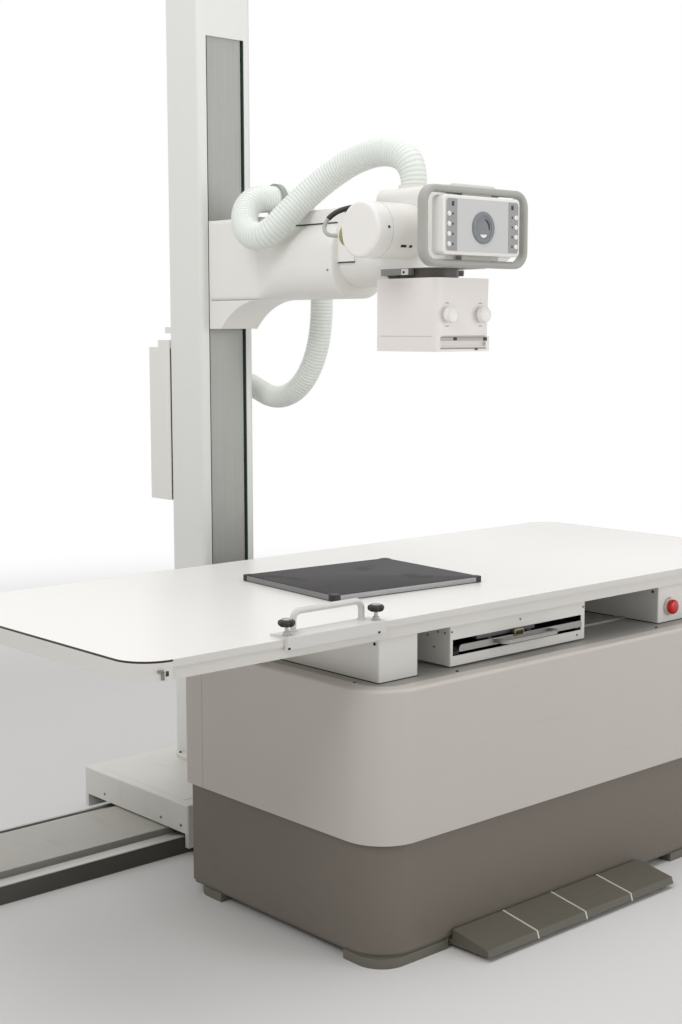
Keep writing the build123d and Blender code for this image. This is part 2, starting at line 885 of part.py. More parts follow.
carriage_x = (column_x - carriage_width / 2, column_x + carriage_width / 2)
carriage_y = (carriage_front_y, carriage_back_y)
with BuildPart() as carriage_cover:
    span(carriage_x, carriage_y, (carriage_bottom, carriage_top))
    fillet(edges().filter_by(Axis.Z), 6)
    fillet(faces().sort_by(Axis.Z)[-1].edges(), 4)
    hollow_x = (carriage_x[0] + carriage_wall, carriage_x[1] - carriage_wall)
    hollow_y = (carriage_y[0] + carriage_wall, carriage_y[1] - carriage_wall)
    span(hollow_x, hollow_y, (carriage_bottom, carriage_top - carriage_wall), Mode.SUBTRACT)
    for skirt_y in (carriage_y[0], carriage_y[1] - skirt_depth):
        skirt = (skirt_y, skirt_y + skirt_depth)
        span((carriage_x[0] + 2, carriage_x[1] - 2), skirt, (skirt_bottom, carriage_bottom + 6))
    with BuildSketch(Plane.XY.offset(carriage_top)):
        with Locations((column_x, column_middle_y)):
            Circle(collar_radius)
    extrude(amount=collar_height)
    chamfer(faces().sort_by(Axis.Z)[-1].edges(), 3)
pieces["carriage_cover"] = carriage_cover

track_top = rail_base + track_height
axle_z = track_top + wheel_radius
with BuildPart() as carriage_frame:
    frame_x = (carriage_x[0] + 50, carriage_x[1] - 50)
    span(frame_x, (front_track_y - 30, back_track_y + 30), (rail_plate_top + 12, rail_plate_top + 32))
    seat_x = (column_x - column_width / 2, column_x + column_width / 2)
    seat_z = (rail_plate_top + 32, carriage_top - carriage_wall)
    span(seat_x, (column_front_y, column_back_y), seat_z)
    for wheel_x in (frame_x[0] + 60, frame_x[1] - 60):
        for track_y in (front_track_y, back_track_y):
            with BuildSketch(Plane.XZ.offset(-track_y - wheel_width / 2)):
                with Locations((wheel_x, axle_z)):
                    Circle(wheel_radius - fit)
            extrude(amount=wheel_width)
pieces["carriage_frame"] = carriage_frame

# Column: a hollow extrusion with a long front mouth, closed by a strip and rubber lips

with BuildPart() as column:
    with BuildSketch(Plane.XY.offset(column_bottom)):
        with Locations((column_x, column_middle_y)):
            RectangleRounded(column_width, column_depth, column_radius)
            RectangleRounded(
                column_width - 2 * column_wall,
                column_depth - 2 * column_wall,
                column_radius - column_wall,
                mode=Mode.SUBTRACT,
            )
    extrude(amount=column_top - column_bottom)
    mouth_x = (column_x - mouth_width / 2, column_x + mouth_width / 2)
    mouth_y = (column_front_y - 1, column_front_y + column_wall)
    span(mouth_x, mouth_y, (mouth_bottom, mouth_top), Mode.SUBTRACT)
pieces["column"] = column

web_outer = mouth_width / 2 - lip_width - web_play
strip_half = web_outer - web_thickness - web_play
strip_y = (column_front_y + column_wall, column_front_y + column_wall + strip_thickness)
with BuildPart() as channel_strip:
    span((column_x - strip_half, column_x + strip_half), strip_y, (mouth_bottom - 20, mouth_top + 20))
pieces["channel_strip"] = channel_strip

with BuildPart() as slot_lips:
    for side in (-1, 1):
        edge = column_x + side * mouth_width / 2
        lip_x = sorted((edge, edge - side * lip_width))
        span(lip_x, (column_front_y, column_front_y + column_wall), (mouth_bottom, mouth_top))
pieces["slot_lips"] = slot_lips

with BuildPart() as column_cap:
    with BuildSketch(Plane.XY.offset(column_top)):
        with Locations((column_x, column_middle_y)):
            RectangleRounded(column_width, column_depth, column_radius)
    extrude(amount=cap_height)
    chamfer(faces().sort_by(Axis.Z)[-1].edges(), 4)
pieces["column_cap"] = column_cap

with BuildPart() as control_box:
    box_x = (column_x - column_width / 2, column_x + column_width / 2)
    span(box_x, (column_back_y, column_back_y + box_depth), (box_bottom, box_top))
    fillet(edges().filter_by(Axis.Z).group_by(Axis.Y)[-1], 5)
    inside_x = (box_x[0] + box_wall, box_x[1] - box_wall)
    inside_z = (box_bottom + box_wall, box_top - box_wall)
    span(inside_x, (column_back_y, column_back_y + box_depth - box_wall), inside_z, Mode.SUBTRACT)
    span((box_x[0], box_x[0] + 55), (column_back_y, column_back_y + 56), (box_top, box_top + 21))
    clip_z = (box_top + 40, box_top + 58)
    span((box_x[0] + 10, box_x[0] + 45), (column_back_y, column_back_y + 33), clip_z)
    with BuildSketch(Plane.YZ.offset(box_x[1])):
        with Locations((gland_y, gland_z)):
            Circle(gland_radius)
    extrude(amount=gland_length)
pieces["control_box"] = control_box


# Counterweight, pulley and rope inside the column

with BuildPart() as counterweight:
    weight_y = pulley_y + pulley_radius + rope_radius
    with BuildSketch(Plane.XY.offset(counterweight_bottom)):
        with Locations((column_x, weight_y)):
            RectangleRounded(counterweight_width, counterweight_depth, 5)
    extrude(amount=counterweight_height)
pieces["counterweight"] = counterweight

with BuildPart() as pulley:
    axle_reach = column_width / 2 - column_wall - fit
    with BuildSketch(Plane.YZ.offset(column_x - pulley_width / 2)):
        with Locations((pulley_y, pulley_z)):
            Circle(pulley_radius)
    extrude(amount=pulley_width)
    with BuildSketch(Plane.YZ.offset(column_x)):
        with Locations((pulley_y, pulley_z)):
            Circle(pulley_radius + 2 * rope_radius)
    extrude(amount=rope_radius, both=True)
    for flange_x in (column_x - pulley_width / 2, column_x + pulley_width / 2 - 3):
        with BuildSketch(Plane.YZ.offset(flange_x)):
            with Locations((pulley_y, pulley_z)):
                Circle(pulley_radius + 6)
        extrude(amount=3)
    with BuildSketch(Plane.YZ.offset(column_x - axle_reach)):
        with Locations((pulley_y, pulley_z)):
            Circle(6)
    extrude(amount=2 * axle_reach)
pieces["pulley"] = pulley

trolley_y = (column_front_y + 16, column_front_y + 28)
rope_line = pulley_radius + rope_radius + 0.1
rope_end = pulley_z - sqrt((pulley_radius + 2 * rope_radius) ** 2 - pulley_radius**2) - fit
trolley_top = arm_top - 18
with BuildPart() as arm_rope:
    with BuildSketch(Plane.XY.offset(trolley_top)):
        with Locations((column_x, pulley_y - rope_line)):
            Circle(rope_radius)
    extrude(amount=rope_end - trolley_top)
pieces["arm_rope"] = arm_rope

with BuildPart() as weight_rope:
    with BuildSketch(Plane.XY.offset(counterweight_bottom + counterweight_height)):
        with Locations((column_x, pulley_y + rope_line)):
            Circle(rope_radius)
    extrude(amount=rope_end - counterweight_bottom - counterweight_height)
pieces["weight_rope"] = weight_rope


# Arm: bracket through the column's slots, moulded housing and top cover

with BuildPart() as arm_bracket:
    back = column_front_y - bracket_play
    bracket_x = (column_x - bracket_width / 2, column_x + bracket_width / 2)
    span(bracket_x, (back - bracket_plate, back), (bracket_bottom, arm_top))
    with BuildSketch(Plane.YZ.offset(bracket_x[0])):
        with BuildLine():
            toe = (back - gusset_foot, bracket_bottom)
            tip = (back - gusset_reach, arm_bottom)
            Line((back, bracket_bottom), toe)
            RadiusArc(toe, tip, -gusset_curve)
            Line(tip, (back, arm_bottom))
            Line((back, arm_bottom), (back, bracket_bottom))
        make_face()
    extrude(amount=bracket_width)
    for side in (-1, 1):
        web_x = sorted((column_x + side * web_outer, column_x + side * (web_outer - web_thickness)))
        span(web_x, (back, trolley_y[1]), (bracket_bottom + 20, trolley_top))
    trolley_x = (column_x - web_outer, column_x + web_outer)
    span(trolley_x, trolley_y, (bracket_bottom + 20, trolley_top))
    rope_eye_x = (column_x - 8, column_x + 8)
    rope_eye_y = (trolley_y[1], pulley_y - rope_line + 6)
    span(rope_eye_x, rope_eye_y, (trolley_top - 40, trolley_top))
pieces["arm_bracket"] = arm_bracket

arm_back_y = column_front_y - bracket_play - bracket_plate
arm_middle_z = (arm_bottom + arm_top) / 2
with BuildPart() as arm_housing:
    with BuildSketch(Plane.XZ.offset(-arm_back_y)):
        with Locations((column_x, arm_middle_z)):
            RectangleRounded(arm_width, arm_top - arm_bottom, 12)
    extrude(amount=arm_back_y - arm_box_end_y)
    with BuildSketch(Plane.XZ.offset(-arm_box_end_y)):
        with Locations((column_x, arm_middle_z)):
            RectangleRounded(arm_width, arm_top - arm_bottom, 12)
    with BuildSketch(Plane.XZ.offset(-drum_start_y)):
        with Locations((column_x, head_axis_z)):
            RectangleRounded(drum_size, drum_size, drum_corner)
    loft()
    with BuildSketch(Plane.XZ.offset(-drum_start_y)):
        with Locations((column_x, head_axis_z)):
            RectangleRounded(drum_size, drum_size, drum_corner)
    extrude(amount=drum_start_y - drum_end_y)
    fillet(faces().sort_by(Axis.Y)[0].edges(), 12)
    with BuildSketch(Plane.XZ.offset(-arm_back_y)):
        with Locations((column_x, arm_middle_z)):
            RectangleRounded(arm_width - 2 * arm_wall, arm_top - arm_bottom - 2 * arm_wall, 12 - arm_wall)
    extrude(amount=arm_back_y - arm_box_end_y, mode=Mode.SUBTRACT)
    with BuildSketch(Plane.XZ.offset(-arm_box_end_y)):
        with Locations((column_x, arm_middle_z)):
            RectangleRounded(arm_width - 2 * arm_wall, arm_top - arm_bottom - 2 * arm_wall, 12 - arm_wall)
    with BuildSketch(Plane.XZ.offset(-drum_start_y)):
        with Locations((column_x, head_axis_z)):
            RectangleRounded(drum_size - 2 * arm_wall, drum_size - 2 * arm_wall, drum_corner - arm_wall)
    loft(mode=Mode.SUBTRACT)
    with BuildSketch(Plane.XZ.offset(-drum_start_y)):
        with Locations((column_x, head_axis_z)):
            RectangleRounded(drum_size - 2 * arm_wall, drum_size - 2 * arm_wall, drum_corner - arm_wall)
    extrude(amount=drum_start_y - drum_end_y - 20, mode=Mode.SUBTRACT)
    with BuildSketch(Plane.XZ.offset(-drum_end_y)):
        with Locations((column_x, head_axis_z)):
            Circle(bearing_radius)
            Circle(bearing_bore, mode=Mode.SUBTRACT)
    extrude(amount=drum_end_y - bearing_end_y)
    cover_x = (column_x - top_cover_width / 2, column_x + top_cover_width / 2)
    span(cover_x, (drum_end_y, arm_box_end_y - 40), (top_cover_seat, arm_top + 20), Mode.SUBTRACT)
pieces["arm_housing"] = arm_housing

with BuildPart() as arm_top_cover:
    span(cover_x, (end_cover_y, arm_box_end_y - 40), (top_cover_seat, top_cover_top))
    end_x = (column_x - end_cover_width / 2, column_x + end_cover_width / 2)
    span(end_x, (end_cover_y, drum_end_y), (end_cover_bottom, top_cover_top))
    with BuildSketch(Plane.XZ.offset(-drum_end_y)):
        with Locations((column_x, head_axis_z)):
            Circle(bearing_radius + fit)
    extrude(amount=drum_end_y - end_cover_y, mode=Mode.SUBTRACT)
    fillet(edges().filter_by(Axis.Y).group_by(Axis.Z)[-1], 8)
pieces["arm_top_cover"] = arm_top_cover

with BuildPart() as hose_clamp:
    clamp_left = clamp_x - clamp_width / 2
    with BuildSketch(Plane.YZ.offset(clamp_left)):
        with Locations((clamp_y, clamp_z)):
            Circle(clamp_radius)
    extrude(amount=clamp_width)
    foot_z = (arm_top, clamp_z - clamp_radius + 6)
    span((clamp_left, clamp_left + clamp_width), (arm_box_end_y, clamp_y + 26), foot_z)
pieces["hose_clamp"] = hose_clamp


# Tube head: trunnion, x-ray tube housing and head cover

with BuildPart() as trunnion:
    with BuildSketch(Plane.XZ.offset(-head_back_y)):
        with Locations((column_x, head_axis_z)):
            Circle(bearing_radius)
    extrude(amount=-(bearing_end_y - fit - head_back_y))
    with BuildSketch(Plane.XZ.offset(-head_back_y)):
        with Locations((column_x, (head_bottom + head_top) / 2 - 10)):
            RectangleRounded(head_width - 20, head_top - head_bottom - 30, 20)
    extrude(amount=-flange_thickness)
    flat_z = (head_axis_z - bearing_radius - 1, collimator_top + 2)
    span((column_x - 100, column_x + 100), (head_back_y - 1, bearing_end_y), flat_z, Mode.SUBTRACT)
pieces["trunnion"] = trunnion

tube_left = column_x - tube_length / 2
tube_right = column_x + tube_length / 2
with BuildPart() as tube_housing:
    with BuildSketch(Plane.YZ.offset(tube_left + tube_cap_length)):
        with Locations((0, tube_z)):
            Circle(tube_radius)
            Circle(tube_radius - tube_wall, mode=Mode.SUBTRACT)
    extrude(amount=tube_length - 2 * tube_cap_length)
pieces["tube_housing"] = tube_housing

with BuildPart() as tube_end_caps:
    for start, direction in ((tube_left + tube_cap_length, -1), (tube_right - tube_cap_length, 1)):
        with BuildSketch(Plane.YZ.offset(start)):
            with Locations((0, tube_z)):
                Circle(tube_radius)
        extrude(amount=direction * tube_cap_length)
    fillet(faces().sort_by(Axis.X)[0].edges(), 9)
    fillet(faces().sort_by(Axis.X)[-1].edges(), 9)
    gland_place = (tube_left + tube_cap_length / 2, cable_plug_z)
    with BuildSketch(Plane.XZ.offset(-tube_radius + 12)):
        with Locations(gland_place):
            Circle(cable_plug_radius)
    extrude(amount=-22)
pieces["tube_end_caps"] = tube_end_caps

head_x = (column_x - head_width / 2, column_x + head_width / 2)
with BuildPart() as head_cover:
    span(head_x, (head_front_y, head_back_y), (head_bottom, head_top))
    fillet(edges().filter_by(Axis.Y).group_by(Axis.Z)[-1], head_round)
    hollow_x = (head_x[0] + head_wall, head_x[1] - head_wall)
    hollow_y = (head_front_y + head_wall, head_back_y - head_wall)
    span(hollow_x, hollow_y, (head_bottom + head_wall, head_top - head_round), Mode.SUBTRACT)
    with BuildSketch(Plane.YZ.offset(head_x[0])):
        with Locations((0, tube_z)):
            Circle(tube_radius + fit)
    extrude(amount=head_width, mode=Mode.SUBTRACT)
    with BuildSketch(Plane.XY.offset(head_top)):
        with Locations((column_x, socket_y)):
            Circle(upper_hose_radius + 2)
    extrude(amount=socket_height)
pieces["head_cover"] = head_cover


# Console and its grab frame

housing_back = head_front_y
with BuildPart() as console_housing:
    with BuildSketch(Plane.XZ.offset(-housing_back)):
        with Locations((console_x, console_z)):
            RectangleRounded(console_width, console_height, console_radius)
    extrude(amount=housing_back - console_front_y - face_thickness)
    fillet(faces().sort_by(Axis.Y)[0].edges(), 4)
pieces["console_housing"] = console_housing

with BuildPart() as console_face:
    with BuildSketch(Plane.XZ.offset(-console_front_y - face_thickness)):
        with Locations((console_x, console_z)):
            RectangleRounded(console_width - 16, console_height - 16, console_radius - 6)
    extrude(amount=face_thickness)
    with BuildSketch(Plane.XZ.offset(-console_front_y)):
        with Locations((console_x, console_z - 4)):
            Circle(dial_radius)
            Circle(dial_radius - 9, mode=Mode.SUBTRACT)
    extrude(amount=dial_proud)
    with BuildSketch(Plane.XZ.offset(-console_front_y)):
        for side in (-1, 1):
            for number in range(4):
                with Locations((console_x + side * key_side_offset, key_low_z + number * key_pitch)):
                    Circle(key_radius)
    extrude(amount=key_proud)
pieces["console_face"] = console_face

with BuildPart() as console_frame:
    with BuildSketch(Plane.XZ.offset(-frame_back_y)):
        with Locations((console_x, frame_center_z)):
            RectangleRounded(frame_outer_width, frame_outer_height, frame_radius)
            RectangleRounded(
                frame_outer_width - 2 * frame_bar,
                frame_outer_height - 2 * frame_bar,
                frame_radius - frame_bar,
                mode=Mode.SUBTRACT,
            )
    extrude(amount=frame_back_y - frame_front_y)
    fillet(faces().sort_by(Axis.Y)[0].edges(), 8)
    bridge_x = (console_x - 50, console_x + 50)
    bridge_y = (frame_back_y - 16, frame_back_y)
    inner_top = frame_center_z + frame_outer_height / 2 - frame_bar
    inner_bottom = frame_center_z - frame_outer_height / 2 + frame_bar
    span(bridge_x, bridge_y, (console_z + console_height / 2, inner_top + 2))
    span(bridge_x, bridge_y, (inner_bottom - 2, console_z - console_height / 2))
pieces["console_frame"] = console_frame


# Collimator under the tube, turning on its ring

with BuildPart() as mounting_plate:
    with BuildSketch(Plane.XY.offset(head_bottom - mount_plate_thickness)):
        with Locations((column_x, 0)):
            RectangleRounded(mount_plate_width, mount_plate_depth, 18)
    extrude(amount=mount_plate_thickness)
    with BuildSketch(Plane.XY.offset(head_bottom - mount_plate_thickness - mount_step)):
        with Locations((column_x, 0)):
            RectangleRounded(mount_plate_width, mount_plate_depth, 18)
            Rectangle(2 * ring_radius + 8, 2 * ring_radius + 8, mode=Mode.SUBTRACT)
            with Locations((0, -mount_plate_depth / 2)):
                Rectangle(mount_plate_width, mount_plate_depth, mode=Mode.SUBTRACT)
    extrude(amount=mount_step)
pieces["mounting_plate"] = mounting_plate

with BuildPart() as swivel_ring:
    with BuildSketch(Plane.XY.offset(collimator_top)):
        with Locations((column_x, 0)):
            Circle(ring_radius)
    extrude(amount=ring_top - collimator_top)
pieces["swivel_ring"] = swivel_ring

with BuildPart() as collimator_body:
    with BuildSketch(Plane.XY.offset(collimator_bottom)):
        with Locations((column_x, 0)):
            RectangleRounded(collimator_width, collimator_depth, 4)
    extrude(amount=collimator_seam - collimator_bottom)
    with BuildSketch(Plane.XY.offset(collimator_seam)):
        collimator_outline(seam_corner)
    with BuildSketch(Plane.XY.offset(collimator_top)):
        collimator_outline(top_corner)
    loft(ruled=True)
    with BuildSketch(Plane.XY.offset(collimator_bottom)):
        with Locations((column_x, 0)):
            Rectangle(window_size + fit, window_size + fit)
    extrude(amount=window_thickness + 2, mode=Mode.SUBTRACT)
    for side_y in (-1, 1):
        groove_y = sorted((side_y * collimator_depth / 2, side_y * (collimator_depth / 2 - 8)))
        groove_x = (column_x - collimator_width / 2 + 14, column_x + collimator_width / 2 - 14)
        span(groove_x, groove_y, (collimator_bottom + 12, collimator_bottom + 24), Mode.SUBTRACT)
    for side in (-1, 1):
        with BuildSketch(Plane.XZ.offset(collimator_depth / 2)):
            with Locations((column_x + side * shutter_knob_spacing / 2, shutter_knob_z)):
                Circle(shutter_stem_radius + fit)
        extrude(amount=-20, mode=Mode.SUBTRACT)
pieces["collimator_body"] = collimator_body

with BuildPart() as collimator_window:
    with BuildSketch(Plane.XY.offset(collimator_bottom + 2)):
        with Locations((column_x, 0)):
            Rectangle(window_size, window_size)
    extrude(amount=window_thickness)
pieces["collimator_window"] = collimator_window

for side, name in ((-1, "shutter_knob_left"), (1, "shutter_knob_right")):
    place = (column_x + side * shutter_knob_spacing / 2, shutter_knob_z)
    with BuildPart() as shutter_knob:
        with BuildSketch(Plane.XZ.offset(collimator_depth / 2 - 18)):
            with Locations(place):
                Circle(shutter_stem_radius)
        extrude(amount=20)
        with BuildSketch(Plane.XZ.offset(collimator_depth / 2)):
            with Locations(place):
                Circle(shutter_knob_radius)
        extrude(amount=shutter_knob_length)
        fillet(faces().sort_by(Axis.Y)[0].edges(), 3)
    pieces[name] = shutter_knob


# Corrugated hoses, as plain tubes, and the thin tube cable

upper_route = [
    (column_x, socket_y, head_top + socket_height),
    (column_x, socket_y, 1789),
    (-133, 108, 1827),
    (-136, 182, 1841),
    (-144, 270, 1826),
    (-164, 336, 1791),
    (-202, 384, 1744),
    (-248, 418, 1689),
    (-278, 456, 1640),
    (-284, 512, 1635),
    (-272, 560, 1662),
    (-250, 592, 1706),
    (-212, clamp_y, 1741),
    (-166, clamp_y, clamp_z),
    (clamp_x - clamp_width / 2, clamp_y, clamp_z),
]
print("upper hose")
middle_line = rounded_path(upper_route, upper_hose_radius)
with BuildPart() as upper_hose:
    with BuildSketch(Plane(origin=middle_line @ 0, z_dir=middle_line % 0)):
        Circle(upper_hose_radius)
    sweep(path=middle_line)
pieces["upper_hose"] = upper_hose

lower_route = [
    (clamp_x + clamp_width / 2, clamp_y, clamp_z),
    (-84, clamp_y, clamp_z),
    (-36, 607, 1734),
    (-4, 611, 1688),
    (16, 616, 1634),
    (38, 621, 1578),
    (50, 622, 1515),
    (50, 622, 1440),
    (50, 633, 1364),
    (50, 662, 1294),
    (50, 712, 1235),
    (50, 776, 1202),
    (50, 846, 1196),
    (50, 912, 1218),
    (48, 965, 1240),
    (30, 1015, 1242),
    (2, gland_y, gland_z),
    (column_x + column_width / 2 + gland_length, gland_y, gland_z),
]
print("lower hose")
middle_line = rounded_path(lower_route, lower_hose_radius)
with BuildPart() as lower_hose:
    with BuildSketch(Plane(origin=middle_line @ 0, z_dir=middle_line % 0)):
        Circle(lower_hose_radius)
    sweep(path=middle_line)
pieces["lower_hose"] = lower_hose

cable_route = [
    (tube_left + tube_cap_length / 2, tube_radius + 10, cable_plug_z),
    (tube_left + tube_cap_length / 2, 118, cable_plug_z),
    (tube_left + 26, 152, 1628),
    (tube_left + 36, 162, 1652),
    (tube_left + 56, 152, 1676),
    (tube_left + 84, 128, 1690),
    (tube_left + 116, 98, 1692),
    (tube_left + 136, 85, 1688),
    (head_x[0], 85, 1688),
]
print("tube cable")
middle_line = rounded_path(cable_route, cable_radius)
with BuildPart() as tube_cable:
    with BuildSketch(Plane(origin=middle_line @ 0, z_dir=middle_line % 0)):
        Circle(cable_radius)
    sweep(path=middle_line)
pieces["tube_cable"] = tube_cable


os.makedirs("parts", exist_ok=True)
for name, piece in pieces.items():
    piece.part.label = name
    export_step(piece.part, f"parts/{name}.step")
print(len(pieces), "nodes")
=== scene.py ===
import math

import bmesh
import bpy
from mathutils import Matrix, Vector


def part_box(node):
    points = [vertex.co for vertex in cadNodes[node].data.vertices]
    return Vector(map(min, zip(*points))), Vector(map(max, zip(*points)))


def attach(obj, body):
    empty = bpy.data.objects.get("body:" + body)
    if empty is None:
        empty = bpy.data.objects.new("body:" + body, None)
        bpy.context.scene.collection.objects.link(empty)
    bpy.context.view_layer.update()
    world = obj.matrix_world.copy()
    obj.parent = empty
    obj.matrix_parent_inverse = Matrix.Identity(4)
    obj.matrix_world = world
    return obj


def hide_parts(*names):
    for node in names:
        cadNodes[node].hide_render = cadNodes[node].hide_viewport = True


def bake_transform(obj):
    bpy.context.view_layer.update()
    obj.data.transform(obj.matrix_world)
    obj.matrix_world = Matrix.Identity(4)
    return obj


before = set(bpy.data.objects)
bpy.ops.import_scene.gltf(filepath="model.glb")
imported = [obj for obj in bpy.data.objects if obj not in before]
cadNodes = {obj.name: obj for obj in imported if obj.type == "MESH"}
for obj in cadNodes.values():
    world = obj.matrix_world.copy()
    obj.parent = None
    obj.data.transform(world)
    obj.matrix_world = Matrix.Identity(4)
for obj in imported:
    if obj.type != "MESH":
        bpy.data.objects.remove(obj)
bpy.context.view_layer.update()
scene = bpy.context.scene
print("x-ray machine:", len(cadNodes), "nodes loaded")

# camera at the photograph's angle
cameraPlace = {
    "position": (-2.80, -2.638, 1.40),
    "yaw": 48.13533,
    "pitch": 6.92896,
    "roll": -0.12017,
    "lens": 53.263,
    "reach": (0.05, 80),
}


def placeCamera(place):
    data = bpy.data.cameras.new("viewCamera")
    data.lens = place["lens"]
    data.clip_start, data.clip_end = place["reach"]
    camera = bpy.data.objects.new("viewCamera", data)
    scene.collection.objects.link(camera)
    turn = (
        Matrix.Rotation(math.radians(place["yaw"] - 90), 4, "Z")
        @ Matrix.Rotation(math.radians(90 - place["pitch"]), 4, "X")
        @ Matrix.Rotation(math.radians(place["roll"]), 4, "Z")
    )
    camera.matrix_world = Matrix.Translation(place["position"]) @ turn
    scene.camera = camera


placeCamera(cameraPlace)


class Wire:
    # one shader value, so that sums can be written as Python
    def __init__(self, sheet, socket):
        self.sheet = sheet
        self.socket = socket

    def calc(self, operation, first, second):
        return self.sheet.node("Math", {"operation": operation}, {0: first, 1: second})

    def __add__(self, other):
        return self.calc("ADD", self, other)

    def __sub__(self, other):
        return self.calc("SUBTRACT", self, other)

    def __rsub__(self, other):
        return self.calc("SUBTRACT", other, self)

    def __mul__(self, other):
        return self.calc("MULTIPLY", self, other)

    __radd__ = __add__
    __rmul__ = __mul__


class NodeSheet:
    def __init__(self, tree):
        self.tree = tree

    # any node: its type, its settings, then the values or links of its sockets
    def node(self, kind, settings=None, values=None, output=0):
        made = self.tree.nodes.new("ShaderNode" + kind)
        for key, value in (settings or {}).items():
            setattr(made, key, value)
        for key, value in (values or {}).items():
            self.feed(made.inputs[key], value)
        return Wire(self, made.outputs[output])

    def feed(self, socket, value):
        if isinstance(value, Wire):
            self.tree.links.new(value.socket, socket)
        else:
            socket.default_value = value


finishes = {}


class Finish(NodeSheet):
    def __init__(self, name, constants):
        self.material = bpy.data.materials.new(name)
        self.material.use_nodes = True
        super().__init__(self.material.node_tree)
        self.shader = self.tree.nodes["Principled BSDF"]
        for key, value in constants.items():
            self.shader.inputs[key].default_value = value
        self.position = self.node("TexCoord", output="Object")
        finishes[name] = self.material

    def paint(self, name, value):
        self.feed(self.shader.inputs[name], value)

    def along(self, letter):
        return self.node("SeparateXYZ", None, {0: self.position}, letter)

    def noise(self, scale, detail=2.0, stretch=(1, 1, 1)):
        place = self.node("Mapping", None, {"Vector": self.position, "Scale": stretch})
        return self.node("TexNoise", None, {"Vector": place, "Scale": scale, "Detail": detail})

    # 0 below the first level, 1 above the second, smooth between
    def step(self, value, low, high):
        values = {"Value": value, "From Min": low, "From Max": high}
        return self.node("MapRange", {"interpolation_type": "SMOOTHSTEP"}, values)

    def mix(self, mask, first, second):
        return self.node("Mix", {"data_type": "RGBA"}, {0: mask, 6: first, 7: second}, 2)

    # one colour, faintly darker and lighter in clouds
    def clouded(self, cloud, colour, darker, lighter):
        return self.mix(cloud, shade(colour, darker), shade(colour, lighter))

    def bump(self, height, distance, strength):
        values = {"Height": height, "Distance": distance, "Strength": strength}
        self.paint("Normal", self.node("Bump", None, values))


def shade(colour, factor):
    return tuple(min(1, level * factor) for level in colour[:3]) + (1,)


def linear(red, green, blue):
    levels = []
    for level in (red, green, blue):
        levels.append(level / 12.92 if level <= 0.04045 else ((level + 0.055) / 1.055) ** 2.4)
    return tuple(levels) + (1,)


# powder coat or moulding: faint cloudiness, fine grain, rubbed patches and a little dust
coatHabits = {
    "shine": 0.45, "rough": 0.42, "cloudSize": 2.3, "cloudTones": (0.955, 1.03),
    "grainSize": 900, "grain": 0.00006, "grainStrength": 0.5,
    "marks": 0.10, "markSize": 6.5, "markEdge": (0.60, 0.74), "markStretch": (1, 1, 5), "markTone": 0.72,
    "dustLine": None, "dust": 0.35, "dustSize": 14, "dustTone": 0.62,
}


def coatedFinish(name, colour, changes):
    look = {**coatHabits, **changes}
    finish = Finish(name, {"Specular IOR Level": look["shine"]})
    cloud = finish.noise(look["cloudSize"], 3)
    speck = finish.noise(look["grainSize"], 1)
    marks = finish.step(finish.noise(look["markSize"], 4, look["markStretch"]), *look["markEdge"])
    body = finish.clouded(cloud, colour, *look["cloudTones"])
    body = finish.mix(marks * look["marks"], body, shade(colour, look["markTone"]))
    if look["dustLine"]:  # dust and shoe marks near the floor
        low, high = look["dustLine"]
        dust = (1 - finish.step(finish.along("Z"), low, high)) * finish.noise(look["dustSize"], 4)
        body = finish.mix(dust * look["dust"], body, shade(colour, look["dustTone"]))
    finish.paint("Base Color", body)
    finish.paint("Roughness", cloud * 0.10 + (look["rough"] - 0.06) + marks * 0.12)
    finish.bump(speck, look["grain"], look["grainStrength"])


# brushed or drawn metal: fine lines along one axis
metalHabits = {
    "metallic": 1.0, "rough": 0.34, "lineSize": 260, "stretch": (0.02, 1, 1), "lineTones": (0.86, 1.08),
    "smudgeSize": 9, "smudgeEdge": (0.52, 0.70), "smudge": 0.16, "smudgeTone": 0.70, "depth": 0.00005,
}


def metalFinish(name, colour, changes):
    look = {**metalHabits, **changes}
    finish = Finish(name, {"Metallic": look["metallic"]})
    lines = finish.noise(look["lineSize"], 2, look["stretch"])
    cloud = finish.noise(3.1, 3)
    smudge = finish.step(finish.noise(look["smudgeSize"], 3), *look["smudgeEdge"])
    body = finish.clouded(lines, colour, *look["lineTones"])
    finish.paint("Base Color", finish.mix(smudge * look["smudge"], body, shade(colour, look["smudgeTone"])))
    finish.paint("Roughness", lines * 0.12 + cloud * 0.10 + (look["rough"] - 0.08))
    finish.bump(lines, look["depth"], 0.45)


